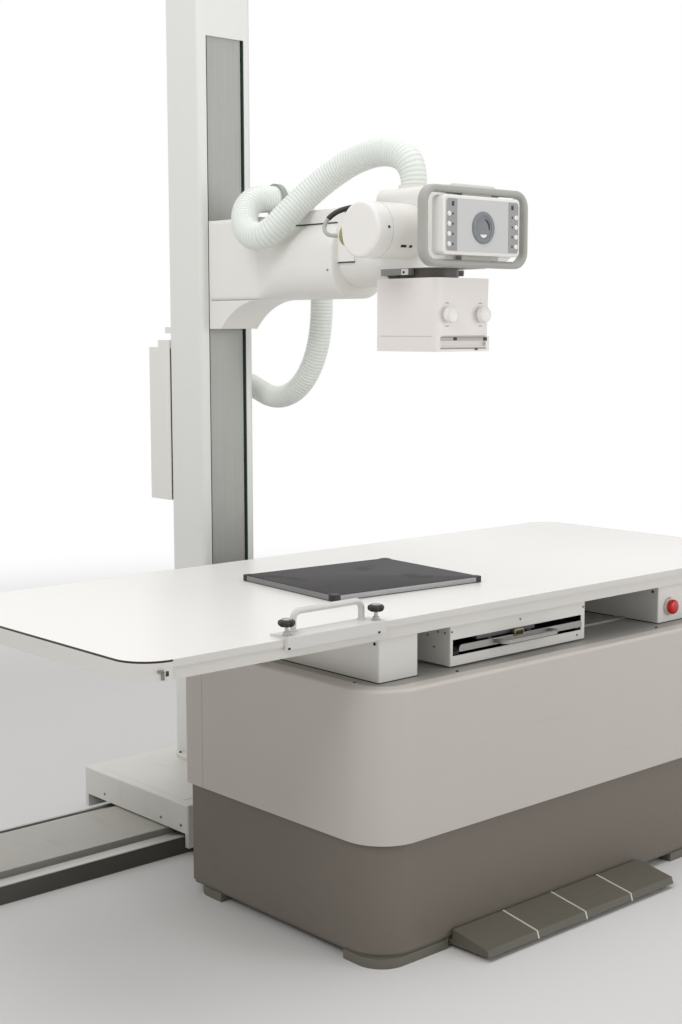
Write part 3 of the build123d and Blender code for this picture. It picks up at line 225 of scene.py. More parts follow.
coats = {
    "warmWhitePaint": ((0.905, 0.898, 0.878), {"rough": 0.40, "marks": 0.05}),
    "whiteMoulding": ((0.925, 0.915, 0.90), {"rough": 0.36, "grainSize": 1400, "marks": 0.04}),
    "pinkWhiteMoulding": ((0.915, 0.895, 0.88), {"rough": 0.38, "grainSize": 1400, "marks": 0.04}),
    "carriagePaint": ((0.86, 0.855, 0.83), {"rough": 0.45, "marks": 0.16, "markStretch": (5, 1, 1)}),
    "coverPaint": ((0.76, 0.74, 0.71), {"marks": 0.05, "cloudSize": 1.1}),
    "lowerCoverPaint": (
        (0.455, 0.425, 0.39),
        {"rough": 0.46, "marks": 0.07, "cloudSize": 1.3, "dustLine": (0.03, 0.20), "dust": 0.30},
    ),
    "deckPaint": ((0.64, 0.63, 0.61), {"rough": 0.55}),
    "framePaint": ((0.30, 0.29, 0.28), {"rough": 0.6, "marks": 0.12}),
    "footPaint": (
        (0.43, 0.415, 0.375),
        {"rough": 0.55, "marks": 0.22, "dustLine": (0.0, 0.03), "dust": 0.5},
    ),
    "columnPaint": ((0.885, 0.885, 0.87), {"rough": 0.38, "marks": 0.03, "cloudSize": 0.9}),
    "railPaint": ((0.83, 0.82, 0.80), {"rough": 0.36, "marks": 0.05, "markStretch": (4, 1, 1)}),
    "apronPaint": ((0.845, 0.835, 0.815), {"marks": 0.05}),
    "edgeBandBrown": ((0.16, 0.095, 0.09), {}),
    "railCoverPaint": (
        (0.665, 0.655, 0.625),
        {"rough": 0.5, "marks": 0.20, "markStretch": (6, 1, 1), "dustLine": (0.0, 0.07), "dust": 0.22},
    ),
    "frameGrey": ((0.655, 0.655, 0.63), {"rough": 0.44, "grainSize": 1100, "marks": 0.06}),
    "faceGrey": ((0.79, 0.79, 0.785), {"rough": 0.5, "grainSize": 1800, "marks": 0.02}),
    "keyStripGrey": ((0.60, 0.605, 0.60), {"rough": 0.5, "grainSize": 1800, "marks": 0.02}),
    "dialGrey": ((0.475, 0.49, 0.505), {"rough": 0.36, "marks": 0.02}),
    "ringPaint": ((0.43, 0.415, 0.40), {"marks": 0.08}),
    "clampGrey": ((0.60, 0.61, 0.60), {"rough": 0.4, "marks": 0.08}),
    "pedalPaint": (
        (0.365, 0.35, 0.305),
        {"rough": 0.55, "grainSize": 420, "grain": 0.00016, "marks": 0.30, "markStretch": (1, 5, 1),
         "dustLine": (0.0, 0.06)},
    ),
    "dividerWhite": ((0.80, 0.79, 0.75), {"rough": 0.45, "marks": 0.25}),
    "greenRubber": ((0.16, 0.27, 0.23), {"rough": 0.6, "marks": 0.08, "shine": 0.3}),
    "cableGrey": ((0.66, 0.67, 0.66), {"rough": 0.45, "marks": 0.05}),
    "buttonRed": ((0.80, 0.10, 0.09), {"rough": 0.26, "marks": 0.05, "shine": 0.5}),
    "blackMoulding": ((0.085, 0.085, 0.09), {"rough": 0.38, "marks": 0.20, "grain": 0.00004}),
    "detectorTop": ((0.185, 0.175, 0.175), {"rough": 0.60, "grainSize": 2200, "marks": 0.03, "shine": 0.28}),
    "detectorRubber": ((0.12, 0.12, 0.12), {"rough": 0.55}),
    "slotDark": ((0.13, 0.13, 0.125), {"rough": 0.5}),
    "gripPaint": ((0.82, 0.815, 0.805), {"rough": 0.36, "marks": 0.06}),
    "grooveGrey": ((0.70, 0.675, 0.655), {"rough": 0.5, "marks": 0.06}),
    "seamPale": ((0.72, 0.71, 0.69), {"rough": 0.6, "marks": 0.03}),
    "catchGrey": ((0.50, 0.49, 0.475), {"rough": 0.5, "marks": 0.06}),
    "seamGrey": ((0.42, 0.41, 0.40), {"rough": 0.6, "marks": 0.05}),
    "lampDark": ((0.13, 0.14, 0.15), {"rough": 0.34, "marks": 0.05}),
    "barGrey": ((0.36, 0.36, 0.37), {"marks": 0.12}),
    "sleeveDark": ((0.16, 0.145, 0.15), {"rough": 0.5, "grainSize": 500, "grain": 0.00012}),
    "glandYellow": ((0.62, 0.60, 0.40), {"rough": 0.4}),
}
metals = {
    "columnSteel": (
        (0.63, 0.63, 0.615), {"rough": 0.50, "stretch": (1, 1, 0.02), "metallic": 0.6, "lineSize": 160}
    ),
    "railAluminium": ((0.74, 0.74, 0.72), {"rough": 0.36}),
    "trayAluminium": ((0.60, 0.595, 0.585), {"rough": 0.46}),
    "caseAluminium": ((0.53, 0.53, 0.53), {"rough": 0.42, "stretch": (0.03, 0.03, 1)}),
    "studSteel": ((0.70, 0.69, 0.67), {"rough": 0.28, "stretch": (1, 1, 0.1)}),
    "ropeSteel": ((0.55, 0.55, 0.55), {"rough": 0.42, "stretch": (1, 1, 0.1)}),
    "latchBrass": ((0.66, 0.62, 0.46), {"rough": 0.30, "stretch": (0.1, 1, 1)}),
    "screwBlack": ((0.16, 0.16, 0.16), {"rough": 0.42, "metallic": 0.6}),
    "screwSteel": ((0.60, 0.59, 0.57), {"rough": 0.30}),
}
for makeFinish, table in ((coatedFinish, coats), (metalFinish, metals)):
    for finishName, (tone, changes) in table.items():
        makeFinish(finishName, linear(*tone), changes)


# floor rail: drawn aluminium, duller on its outer faces below the track top, where painted shade also darkens it
floorRailLook = {
    "bright": (linear(0.66, 0.66, 0.64), linear(0.76, 0.76, 0.74)), "dusty": linear(0.30, 0.295, 0.275),
    "innerFaces": (0.5704, 0.5716, 0.9534, 0.9546), "trackTop": (0.0450, 0.0465),
}


def makeFloorRailMetal(look):
    finish = Finish("floorRailMetal", {"Metallic": 0.75})
    lines = finish.noise(240, 2, (0.02, 1, 1))
    cloud = finish.noise(3.1, 3)
    across, height = finish.along("Y"), finish.along("Z")
    frontLow, frontHigh, backLow, backHigh = look["innerFaces"]
    inner = finish.step(across, frontLow, frontHigh) * (1 - finish.step(across, backLow, backHigh))
    # outer: the outer faces below the track top, which carry painted shade
    outer = (1 - inner) * (1 - finish.step(height, *look["trackTop"]))
    body = finish.mix(lines, *look["bright"])
    # painted shade: the outer faces are mixed towards the dark colour
    finish.paint("Base Color", finish.mix(outer * (cloud * 0.2 + 0.8), body, look["dusty"]))
    finish.paint("Roughness", lines * 0.12 + cloud * 0.10 + outer * 0.20 + 0.32)
    finish.bump(lines, 0.00005, 0.45)


makeFloorRailMetal(floorRailLook)

# tabletop: warm white laminate under a thin gloss, with one faint stain beside the detector
laminateLook = {
    "colour": linear(0.945, 0.935, 0.92), "stainColour": linear(0.86, 0.80, 0.70),
    "stainPlace": (-0.115, 0.165, -0.772), "stainEdge": (0.012, 0.055), "stainStrength": 0.45,
}


def makeLaminate(look):
    colour = look["colour"]
    finish = Finish("tabletopLaminate", {"Specular IOR Level": 0.5})
    cloud = finish.noise(1.7, 3)
    fleck = finish.step(finish.noise(640, 2), 0.63, 0.70)
    wipe = finish.step(finish.noise(2.5, 2, (1, 3, 1)), 0.50, 0.90)
    body = finish.clouded(cloud, colour, 0.975, 1.01)
    body = finish.mix(fleck * 0.10, body, shade(colour, 0.80))
    values = {"Vector": finish.position, "Location": look["stainPlace"], "Scale": (1, 1, 1)}
    offset = finish.node("Mapping", {"vector_type": "TEXTURE"}, values)
    reach = finish.node("VectorMath", {"operation": "LENGTH"}, {0: offset}, "Value")
    stain = (1 - finish.step(reach, *look["stainEdge"])) * finish.step(finish.noise(32, 4), 0.40, 0.62)
    finish.paint("Base Color", finish.mix(stain * look["stainStrength"], body, look["stainColour"]))
    finish.paint("Roughness", wipe * 0.10 + cloud * 0.06 + 0.27)
    finish.bump(finish.noise(420, 2), 0.00003, 0.35)


makeLaminate(laminateLook)


# corrugated hose: mint plastic, with painted shade in the grooves between the ribs, darker and greener there
hoseLook = {"colour": linear(0.90, 0.915, 0.895), "grooveShadeColour": linear(0.66, 0.72, 0.665), "grooveShadeStrength": 0.30}


def makeHosePlastic(look):
    finish = Finish("hosePlastic", {"Specular IOR Level": 0.5})
    groove = finish.node("Attribute", {"attribute_name": "groove"}, None, "Fac")
    cloud = finish.noise(7, 3)
    body = finish.clouded(cloud, look["colour"], 0.965, 1.02)
    # painted shade: the grooves between the ribs are mixed towards the darker green
    finish.paint("Base Color", finish.mix(groove * look["grooveShadeStrength"], body, look["grooveShadeColour"]))
    finish.paint("Roughness", groove * 0.15 + cloud * 0.08 + 0.33)
    finish.bump(finish.noise(700, 1), 0.00004, 0.3)


makeHosePlastic(hoseLook)

windowLook = {"Transmission Weight": 0.85, "IOR": 1.45, "Base Color": linear(0.93, 0.95, 0.95)}


def makeWindow(look):
    finish = Finish("windowClear", look)
    finish.paint("Roughness", finish.noise(40, 3) * 0.10 + 0.04)
    finish.bump(finish.noise(300, 2), 0.00003, 0.2)


makeWindow(windowLook)

# plate over the collimator: white top, and painted shade makes the step below it grey
plateLook = {
    "white": linear(0.90, 0.895, 0.875), "grey": linear(0.56, 0.555, 0.545), "stepHeight": (1.5415, 1.5425),
}


def makePlatePaint(look):
    finish = Finish("plateTwoTone", {"Specular IOR Level": 0.45})
    cloud = finish.noise(4, 3)
    upper = finish.clouded(cloud, look["white"], 0.96, 1.02)
    lower = finish.clouded(cloud, look["grey"], 0.94, 1.04)
    # painted shade: below the step height the plate takes the grey colour
    finish.paint("Base Color", finish.mix(finish.step(finish.along("Z"), *look["stepHeight"]), lower, upper))
    finish.paint("Roughness", cloud * 0.10 + 0.38)
    finish.bump(finish.noise(900, 1), 0.00006, 0.4)


makePlatePaint(plateLook)

# drawer housing: white outside, with painted shade darkening everything inside its walls
drawerLook = {
    "white": linear(0.905, 0.898, 0.878), "insideShadeColour": linear(0.10, 0.10, 0.098), "edge": 0.0004,
    "inside": (("X", -0.339, 0.140), ("Y", -0.2662, 0.230), ("Z", 0.630, 0.723)),
}


def makeDrawerPaint(look):
    finish = Finish("drawerPaint", {"Specular IOR Level": 0.4})
    cloud = finish.noise(4, 3)
    inside, edge = 1, look["edge"]
    for letter, low, high in look["inside"]:
        place = finish.along(letter)
        inside = finish.step(place, low, low + edge) * (1 - finish.step(place, high - edge, high)) * inside
    body = finish.clouded(cloud, look["white"], 0.955, 1.02)
    # painted shade: the inside of the housing is mixed to the dark colour
    finish.paint("Base Color", finish.mix(inside, body, look["insideShadeColour"]))
    finish.paint("Roughness", cloud * 0.10 + inside * 0.15 + 0.36)
    finish.bump(finish.noise(900, 1), 0.00006, 0.4)


makeDrawerPaint(drawerLook)
print("finishes:", len(finishes))

nodeFinishes = {
    "footPaint": ["base_frame"],
    "lowerCoverPaint": ["lower_cover"],
    "coverPaint": ["upper_cover", "rear_cover"],
    "deckPaint": ["deck_plate"],
    "columnSteel": ["lift_column_outer", "lift_column_middle", "lift_column_inner", "channel_strip"],
    "dividerWhite": ["pedal_bracket"],
    "pedalPaint": ["foot_pedal_1", "foot_pedal_2", "foot_pedal_3", "foot_pedal_4"],
    "floorRailMetal": ["floor_rail"],
    "railAluminium": ["pulley", "carriage_frame"],
    "railCoverPaint": ["rail_cover"],
    "warmWhitePaint": [
        "end_boxes", "column_cap", "control_box", "arm_bracket", "arm_housing", "trunnion",
        "head_cover", "tube_housing",
    ],
    "plateTwoTone": ["mounting_plate"],
    "drawerPaint": ["bucky_housing"],
    "buttonRed": ["stop_button"],
    "faceGrey": ["bucky_grid", "console_face"],
    "trayAluminium": ["cassette_tray"],
    "framePaint": ["cross_beams", "counterweight"],
    "tabletopLaminate": ["tabletop_panel"],
    "edgeBandBrown": ["edge_band"],
    "railPaint": ["side_rails"],
    "apronPaint": ["end_aprons"],
    "detectorTop": ["detector"],
    "gripPaint": ["rail_clamp"],
    "blackMoulding": ["star_knob_left", "star_knob_right"],
    "carriagePaint": ["carriage_cover"],
    "columnPaint": ["column"],
    "greenRubber": ["slot_lips"],
    "ropeSteel": ["arm_rope", "weight_rope"],
    "whiteMoulding": [
        "arm_top_cover", "tube_end_caps", "console_housing", "shutter_knob_left", "shutter_knob_right",
    ],
    "pinkWhiteMoulding": ["collimator_body"],
    "clampGrey": ["hose_clamp"],
    "hosePlastic": ["upper_hose", "lower_hose"],
    "frameGrey": ["console_frame"],
    "cableGrey": ["tube_cable"],
    "ringPaint": ["swivel_ring"],
    "windowClear": ["collimator_window"],
}
for finishName, names in nodeFinishes.items():
    for nodeName in names:
        for slotPlace in cadNodes[nodeName].material_slots:
            slotPlace.material = finishes[finishName]
bare = set(cadNodes) - {name for names in nodeFinishes.values() for name in names}
print("nodes without a finish:", sorted(bare))


# directions of a face: across, up, and out of it
facing = {
    "front": ((1, 0, 0), (0, 0, 1), (0, -1, 0)),
    "back": ((-1, 0, 0), (0, 0, 1), (0, 1, 0)),
    "left": ((0, -1, 0), (0, 0, 1), (-1, 0, 0)),
    "right": ((0, 1, 0), (0, 0, 1), (1, 0, 0)),
    "top": ((1, 0, 0), (0, 1, 0), (0, 0, 1)),
    "under": ((1, 0, 0), (0, -1, 0), (0, 0, -1)),
}


def spot(place, side, across, up, out):
    acrossWay, upWay, outWay = (Vector(way) for way in facing[side])
    return Vector(place) + acrossWay * across + upWay * up + outWay * out


# circle on a face; its radius is a number, or a function of the angle
def circleSpots(place, side, radius, height, count):
    spots = []
    for i in range(count):
        angle = 2 * math.pi * i / count
        reach = radius(angle) if callable(radius) else radius
        spots.append(spot(place, side, reach * math.cos(angle), reach * math.sin(angle), height))
    return spots


# skins neighbouring loops of points, and closes the two ends
def skinLoops(bm, loops, closed=True):
    rings = [[bm.verts.new(point) for point in loop] for loop in loops]
    count = len(rings[0])
    for lower, upper in zip(rings, rings[1:]):
        for i in range(count):
            k = (i + 1) % count
            bm.faces.new((lower[i], lower[k], upper[k], upper[i]))
    if closed:
        bm.faces.new(list(reversed(rings[0])))
        bm.faces.new(rings[-1])
    return rings


def fourRadii(radius):
    return radius if isinstance(radius, tuple) else (radius,) * 4


# outline round the middle; the radius may be one for all corners or one for each
def roundedOutline(width, height, radius, steps=6):
    points = []
    corners = ((1, 1), (-1, 1), (-1, -1), (1, -1))
    for turn, ((signX, signY), bend) in enumerate(zip(corners, fourRadii(radius))):
        bend = max(bend, 0.00005)
        centre = (signX * (width / 2 - bend), signY * (height / 2 - bend))
        for i in range(steps + 1):
            angle = math.radians(90 * turn + 90 * i / steps)
            points.append((centre[0] + bend * math.cos(angle), centre[1] + bend * math.sin(angle)))
    return points


# plate with rounded corners and rounded front edges, standing out of a face
def addPlate(bm, place, side, size, radius, low, high, soft):
    levels = [(0, low), (0, high - soft)]
    for turn in (30, 60, 90):
        angle = math.radians(turn)
        levels.append((soft * (1 - math.cos(angle)), high - soft * (1 - math.sin(angle))))
    loops = []
    for inset, level in levels:
        inner = tuple(bend - inset * 0.8 for bend in fourRadii(radius))
        outline = roundedOutline(size[0] - 2 * inset, size[1] - 2 * inset, inner)
        loops.append([spot(place, side, a, b, level) for a, b in outline])
    skinLoops(bm, loops)


# flat frame round an opening: outer size, width of its bar, lowest and highest level
def addFrame(bm, place, side, size, radius, bar, low, high):
    loops = []
    for inset, level in ((0, low), (0, high), (bar, high), (bar, low), (0, low)):
        outline = roundedOutline(size[0] - 2 * inset, size[1] - 2 * inset, max(radius - inset, 0.0003))
        loops.append([spot(place, side, a, b, level) for a, b in outline])
    skinLoops(bm, loops, False)


# thin rounded slab, half of it each side of its place
def addSeam(bm, place, size, radius, half):
    outline = roundedOutline(*size, radius, 8)
    skinLoops(bm, [[spot(place, "top", a, b, level) for a, b in outline] for level in (-half, half)])


# ring standing out of a face: pairs of radius and height, joined back to the first
def addRing(bm, place, side, profile, count=56):
    loops = [circleSpots(place, side, radius, height, count) for radius, height in profile + profile[:1]]
    skinLoops(bm, loops, False)


# crescent on a face, widest in its middle
def addCrescent(bm, place, side, reach, width, start, end, height, count=24):
    loops = []
    for i in range(count + 1):
        share = i / count
        angle = math.radians(start + (end - start) * share)
        half = max(width / 2 * math.sin(math.pi * share) ** 0.6, 0.00005)
        inner, outer = reach - half, reach + half
        corners = ((inner, -0.0003), (outer, -0.0003), (outer, height), (inner, height))
        loops.append([spot(place, side, r * math.cos(angle), r * math.sin(angle), h) for r, h in corners])
    skinLoops(bm, loops)


# turned shape: pairs of radius and height out of a face, with lobes or flutes round it
def addTurned(bm, place, side, profile, count=28, lobes=0, lobeDepth=0.0):
    loops = []
    for radius, height in profile:
        def lobed(angle, radius=radius):
            return radius * (1 - lobeDepth * (0.5 + 0.5 * math.cos(lobes * angle)))

        loops.append(circleSpots(place, side, lobed, height, count))
    skinLoops(bm, loops)


# screw head with a six-sided socket
def addScrew(bm, place, side, radius, count=24):
    height = radius * 0.55

    def socket(angle):
        return radius * 0.46 / math.cos(angle % (math.pi / 3) - math.pi / 6)

    profile = [(radius, 0), (radius, height * 0.55), (radius * 0.86, height), (radius * 0.56, height)]
    profile += [(socket, height), (socket, height * 0.35)]
    skinLoops(bm, [circleSpots(place, side, reach, level, count) for reach, level in profile])


# a piece from its mesh; its dress is a finish, the body it rides on, and a slot
def bmeshPiece(name, bm, dress, replaced=(), smoothAngle=38):
    finishName, body, slotName = dress
    bmesh.ops.remove_doubles(bm, verts=bm.verts, dist=0.000001)
    bmesh.ops.recalc_face_normals(bm, faces=bm.faces)
    mesh = bpy.data.meshes.new(name)
    bm.to_mesh(mesh)
    bm.free()
    mesh.shade_smooth()
    mesh.set_sharp_from_angle(angle=math.radians(smoothAngle))
    mesh.materials.append(finishes[finishName])
    piece = bpy.data.objects.new(name, mesh)
    scene.collection.objects.link(piece)
    if body:
        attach(piece, body)
    if replaced:
        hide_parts(*replaced)
    return piece


# a piece from shapes: each is the function that adds it, and what that takes
def makePiece(name, dress, shapes, replaced=(), smoothAngle=38, turn=None):
    bm = bmesh.new()
    for addShape, *values in shapes:
        addShape(bm, *values)
    if turn:
        bmesh.ops.rotate(bm, verts=bm.verts, cent=turn[0], matrix=turn[1])
    return bmeshPiece(name, bm, dress, replaced, smoothAngle)


# plates of one piece: place, side, size, corner radius and height of each
def makePlates(name, dress, plates, low=-0.0003, soft=0.0004):
    shapes = [(addPlate, place, side, size, bend, low, high, soft) for place, side, size, bend, high in plates]
    makePiece(name, dress, shapes)


# screws of one piece: the places of each side
def makeScrews(name, dress, radius, places):
    shapes = [(addScrew, place, side, radius) for side, onSide in places.items() for place in onSide]
    makePiece(name, dress, shapes)


# corrugated hoses: the points are the hose's own route
upperHose = {
    "route": [
        (-0.132, 0.068, 1.747), (-0.132, 0.068, 1.789), (-0.133, 0.108, 1.827), (-0.136, 0.182, 1.841),
        (-0.144, 0.270, 1.826), (-0.164, 0.336, 1.791), (-0.202, 0.384, 1.744), (-0.248, 0.418, 1.689),
        (-0.278, 0.456, 1.640), (-0.284, 0.512, 1.635), (-0.272, 0.560, 1.662), (-0.250, 0.592, 1.706),
        (-0.212, 0.606, 1.741), (-0.166, 0.606, 1.747), (-0.136, 0.606, 1.747),
    ],
    "radius": 0.036, "ribPitch": 0.0092, "ribDepth": 0.0014, "length": 0.852, "neck": (0.0325, 0.070),
    "bodies": ("tube_head", "arm"), "start": (-0.133, 0.11, 1.84), "end": (-0.20, 0.42, 1.75),
}
lowerHose = {
    "route": [
        (-0.120, 0.606, 1.747), (-0.084, 0.606, 1.747), (-0.036, 0.607, 1.734), (-0.004, 0.611, 1.688),
        (0.016, 0.616, 1.634), (0.038, 0.621, 1.578), (0.050, 0.622, 1.515), (0.050, 0.622, 1.440),
        (0.050, 0.633, 1.364), (0.050, 0.662, 1.294), (0.050, 0.712, 1.235), (0.050, 0.776, 1.202),
        (0.050, 0.846, 1.196), (0.050, 0.912, 1.218), (0.048, 0.965, 1.240), (0.030, 1.015, 1.242),
        (0.002, 1.035, 1.240), (-0.0265, 1.035, 1.240),
    ],
    "radius": 0.032, "ribPitch": 0.0092, "ribDepth": 0.0014, "length": 1.006, "neck": (0.032, 0.01),
    "bodies": ("arm", "column_assembly"), "start": (0.050, 0.607, 1.72), "end": (0.050, 1.092, 1.635),
}


def routeCurve(name, points):
    data = bpy.data.curves.new(name, "CURVE")
    data.dimensions = "3D"
    line = data.splines.new("NURBS")
    line.points.add(len(points) - 1)
    for point, place in zip(line.points, points):
        point.co = (*place, 1)
    line.order_u = 3
    line.use_endpoint_u = True
    data.resolution_u = 24
    curve = bpy.data.objects.new(name, data)
    scene.collection.objects.link(curve)
    return curve


# the smooth line of a route, read from its NURBS curve
def routeLine(name, points):
    curve = routeCurve(name, points)
    bpy.context.view_layer.update()
    mesh = bpy.data.meshes.new_from_object(curve.evaluated_get(bpy.context.evaluated_depsgraph_get()))
    line = [vertex.co.copy() for vertex in mesh.vertices]
    bpy.data.objects.remove(curve)
    return line


def evenSteps(line, step):
    total = sum((b - a).length for a, b in zip(line, line[1:]))
    count = max(2, round(total / step))
    points, travelled, i = [], 0, 0
    for k in range(count + 1):
        distance = total * k / count
        while i < len(line) - 2 and travelled + (line[i + 1] - line[i]).length < distance:
            travelled += (line[i + 1] - line[i]).length
            i += 1
        run = line[i + 1] - line[i]
        share = (distance - travelled) / max(run.length, 1e-9)
        points.append(line[i] + run * min(max(share, 0), 1))
    return points, total


# loops round a line, carried along it without twist
def tubeLoops(points, radii, count):
    loops, side = [], None
    for i, point in enumerate(points):
        ahead = (points[min(i + 1, len(points) - 1)] - points[max(i - 1, 0)]).normalized()
        if side is None:
            side = ahead.orthogonal().normalized()
        side = (side - ahead * side.dot(ahead)).normalized()
        other = ahead.cross(side)
        loop = []
        for k in range(count):
            angle = 2 * math.pi * k / count
            loop.append(point + (side * math.cos(angle) + other * math.sin(angle)) * radii[i])
        loops.append(loop)
    return loops


def makeHose(name, hose, node):
    line = routeLine(name + "Line", hose["route"])
    points, total = evenSteps(line, hose["ribPitch"] / 8)  # eight loops to a rib
    grooves, radii = [], []
    neckRadius, neckReach = hose["neck"]
    for i in range(len(points)):
        place = total * i / (len(points) - 1)
        groove = (0.5 + 0.5 * math.cos(2 * math.pi * place / hose["ribPitch"])) ** 1.6
        swell = min(place / neckReach, 1)
        outer = neckRadius + (hose["radius"] - neckRadius) * swell * swell * (3 - 2 * swell)
        grooves.append(groove)
        radii.append(outer - hose["ribDepth"] * groove)
    bm = bmesh.new()
    layer = bm.verts.layers.float.new("groove")
    rings = skinLoops(bm, tubeLoops(points, radii, 40))
    for ring, groove in zip(rings, grooves):
        for vertex in ring:
            vertex[layer] = groove
    piece = bmeshPiece(name, bm, ("hosePlastic", None, "hose_mint"), (node,), 60)
    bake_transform(piece)
    [tuple(point) for point in points[::4]] + [tuple(points[-1])]
    print(name, "follows", round(total, 3), "m")


makeHose("upperHose", upperHose, "upper_hose")
makeHose("lowerHose", lowerHose, "lower_hose")

tubeCable = {
    "route": [
        (-0.354, 0.076, 1.618), (-0.354, 0.118, 1.618), (-0.352, 0.152, 1.628), (-0.342, 0.162, 1.652),
        (-0.322, 0.152, 1.676), (-0.294, 0.128, 1.690), (-0.262, 0.098, 1.692), (-0.242, 0.085, 1.688),
        (-0.222, 0.085, 1.688),
    ],
    "radius": 0.005, "length": 0.261, "sleeve": (0.44, 0.97), "sleeveRadius": 0.0064, "sleeveEnd": 0.86,
}


def makeCable(look):
    cable = routeCurve("tubeCable", look["route"])
    cable.data.bevel_depth = look["radius"]
    cable.data.bevel_resolution = 5
    cable.data.use_fill_caps = True
    cable.data.materials.append(finishes["cableGrey"])
    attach(cable, "tube_head")
    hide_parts("tube_cable")
    points = evenSteps(routeLine("sleeveLine", look["route"]), 0.002)[0]
    first, last = (round(share * (len(points) - 1)) for share in look["sleeve"])
    covered = points[first:last + 1]
    radii = [look["sleeveRadius"]] * len(covered)
    radii[0] = radii[-1] = look["sleeveRadius"] * look["sleeveEnd"]
    bm = bmesh.new()
    skinLoops(bm, tubeLoops(covered, radii, 20))
    sleeve = bmeshPiece("cableSleeve", bm, ("sleeveDark", "tube_head", "black_plastic"), (), 60)


makeCable(tubeCable)
print("hoses and cable made")


# control console: key strips, keys, lamps and the dial
consoleParts = {
    "face": -0.168, "middle": (-0.136, -0.168, 1.6325), "keyRows": (1.592, 1.615, 1.638, 1.661),
    "keyColumns": (-0.251, -0.021), "lampColumns": (-0.2385, -0.0345), "signHeight": 1.684,
    "strips": [(-0.2415, (0, 0.009, 0.009, 0)), (-0.0305, (0.009, 0, 0, 0.009))],
    "stripSize": (0.035, 0.1185), "stripHeight": 1.6365,
    "keyProfile": [(0.0058, -0.0003), (0.0058, 0.0017), (0.0051, 0.0023), (0.0020, 0.0026)],
    "lampProfile": [(0.0026, 0), (0.0026, 0.0010), (0.0016, 0.0015)],
    "ringProfile": [
        (0.0272, -0.0003), (0.0374, -0.0003), (0.0374, 0.0024), (0.0358, 0.0036), (0.0288, 0.0036),
        (0.0272, 0.0028),
    ],
    "ringPins": (-0.0326, 0.0326), "pinProfile": [(0.0014, 0.003), (0.0014, 0.0042)],
    "dishProfile": [(0.0274, -0.0003), (0.0274, 0.0016), (0.0225, 0.0010), (0.0120, 0.0006), (0.0030, 0.0005)],
    # the white crescent at the bottom of the dial is a painted highlight, the dark crescent at its right a painted
    # shade
    "markDepth": 0.0008, "mark": (0.0192, 0.0075, 236, 304, 0.0012), "shadeCrescent": (0.0205, 0.0050, -14, 78, 0.0012),
}


def makeConsole(look):
    face, rows = look["face"], look["keyRows"]
    greyDress = ("dialGrey", "tube_head", "console_frame_grey")
    whiteDress = ("whiteMoulding", "tube_head", "white_moulding")
    darkDress = ("lampDark", "tube_head", "black_plastic")
    makePlates("consoleKeyStrips", ("keyStripGrey", "tube_head", "console_frame_grey"), [
        ((x, face, look["stripHeight"]), "front", look["stripSize"], bends, 0.0005) for x, bends in look["strips"]
    ], soft=0.0002)
    makePiece("consoleKeys", whiteDress, [
        (addTurned, (x, face, z), "front", look["keyProfile"], 24) for x in look["keyColumns"] for z in rows
    ])
    lamps = [(addTurned, (x, face, z), "front", look["lampProfile"], 18) for x in look["lampColumns"] for z in rows]
    for x in look["lampColumns"]:
        place = (x, face, look["signHeight"])
        lamps.append((addPlate, place, "front", (0.0085, 0.011), 0.0015, 0, 0.0010, 0.0003))
    makePiece("consoleLamps", darkDress, lamps)
    x, y, z = look["middle"]
    ring = [(addRing, look["middle"], "front", look["ringProfile"])]
    ring += [(addTurned, (x + across, y, z), "front", look["pinProfile"], 12) for across in look["ringPins"]]
    makePiece("dialRing", greyDress, ring)
    makePiece("dialDish", greyDress, [(addTurned, look["middle"], "front", look["dishProfile"], 56)])
    # painted highlight and painted shade: two crescents over the dish
    raised = (x, y - look["markDepth"], z)
    makePiece("dialPaintedHighlight", whiteDress, [(addCrescent, raised, "front", *look["mark"])])
    makePiece("dialPaintedShade", darkDress, [(addCrescent, raised, "front", *look["shadeCrescent"])])


makeConsole(consoleParts)

# tube: fine seams at its caps, cap screws, ring round the cable plug, two plugs underneath
tubeParts = {
    "height": 1.628, "seams": (-0.330, 0.066), "plug": (-0.354, 0.066, 1.618),
    "screwX": (-0.344, 0.080), "screwY": {"front": -0.0659, "back": 0.0659}, "screwHeight": 1.632,
    "seamProfile": [(0.0652, -0.0005), (0.0663, -0.0005), (0.0663, 0.0005), (0.0652, 0.0005)],
    "plugProfile": [(0.0219, -0.006), (0.0262, -0.006), (0.0262, 0.002), (0.0245, 0.004), (0.0219, 0.004)],
}


def makeTube(look):
    makePiece("tubeSeams", ("seamPale", "tube_head", "ring_grey"), [
        (addRing, (x, 0, look["height"]), "left", look["seamProfile"], 72) for x in look["seams"]
    ])
    makeScrews("tubeCapScrews", ("screwBlack", "tube_head", "black_steel"), 0.0032, {
        side: [(x, y, look["screwHeight"]) for x in look["screwX"]] for side, y in look["screwY"].items()
    })
    makePiece("plugRing", ("glandYellow", "tube_head", "green_rubber"), [
        (addRing, look["plug"], "back", look["plugProfile"])
    ])
    makePlates("tubePlugs", ("lampDark", "tube_head", "black_plastic"), [
        ((-0.286, -0.0546, 1.5905), "front", (0.017, 0.007), 0.002, 0.0014),
        ((-0.263, -0.0546, 1.5905), "front", (0.008, 0.007), 0.002, 0.0014),
    ], low=-0.005)


makeTube(tubeParts)

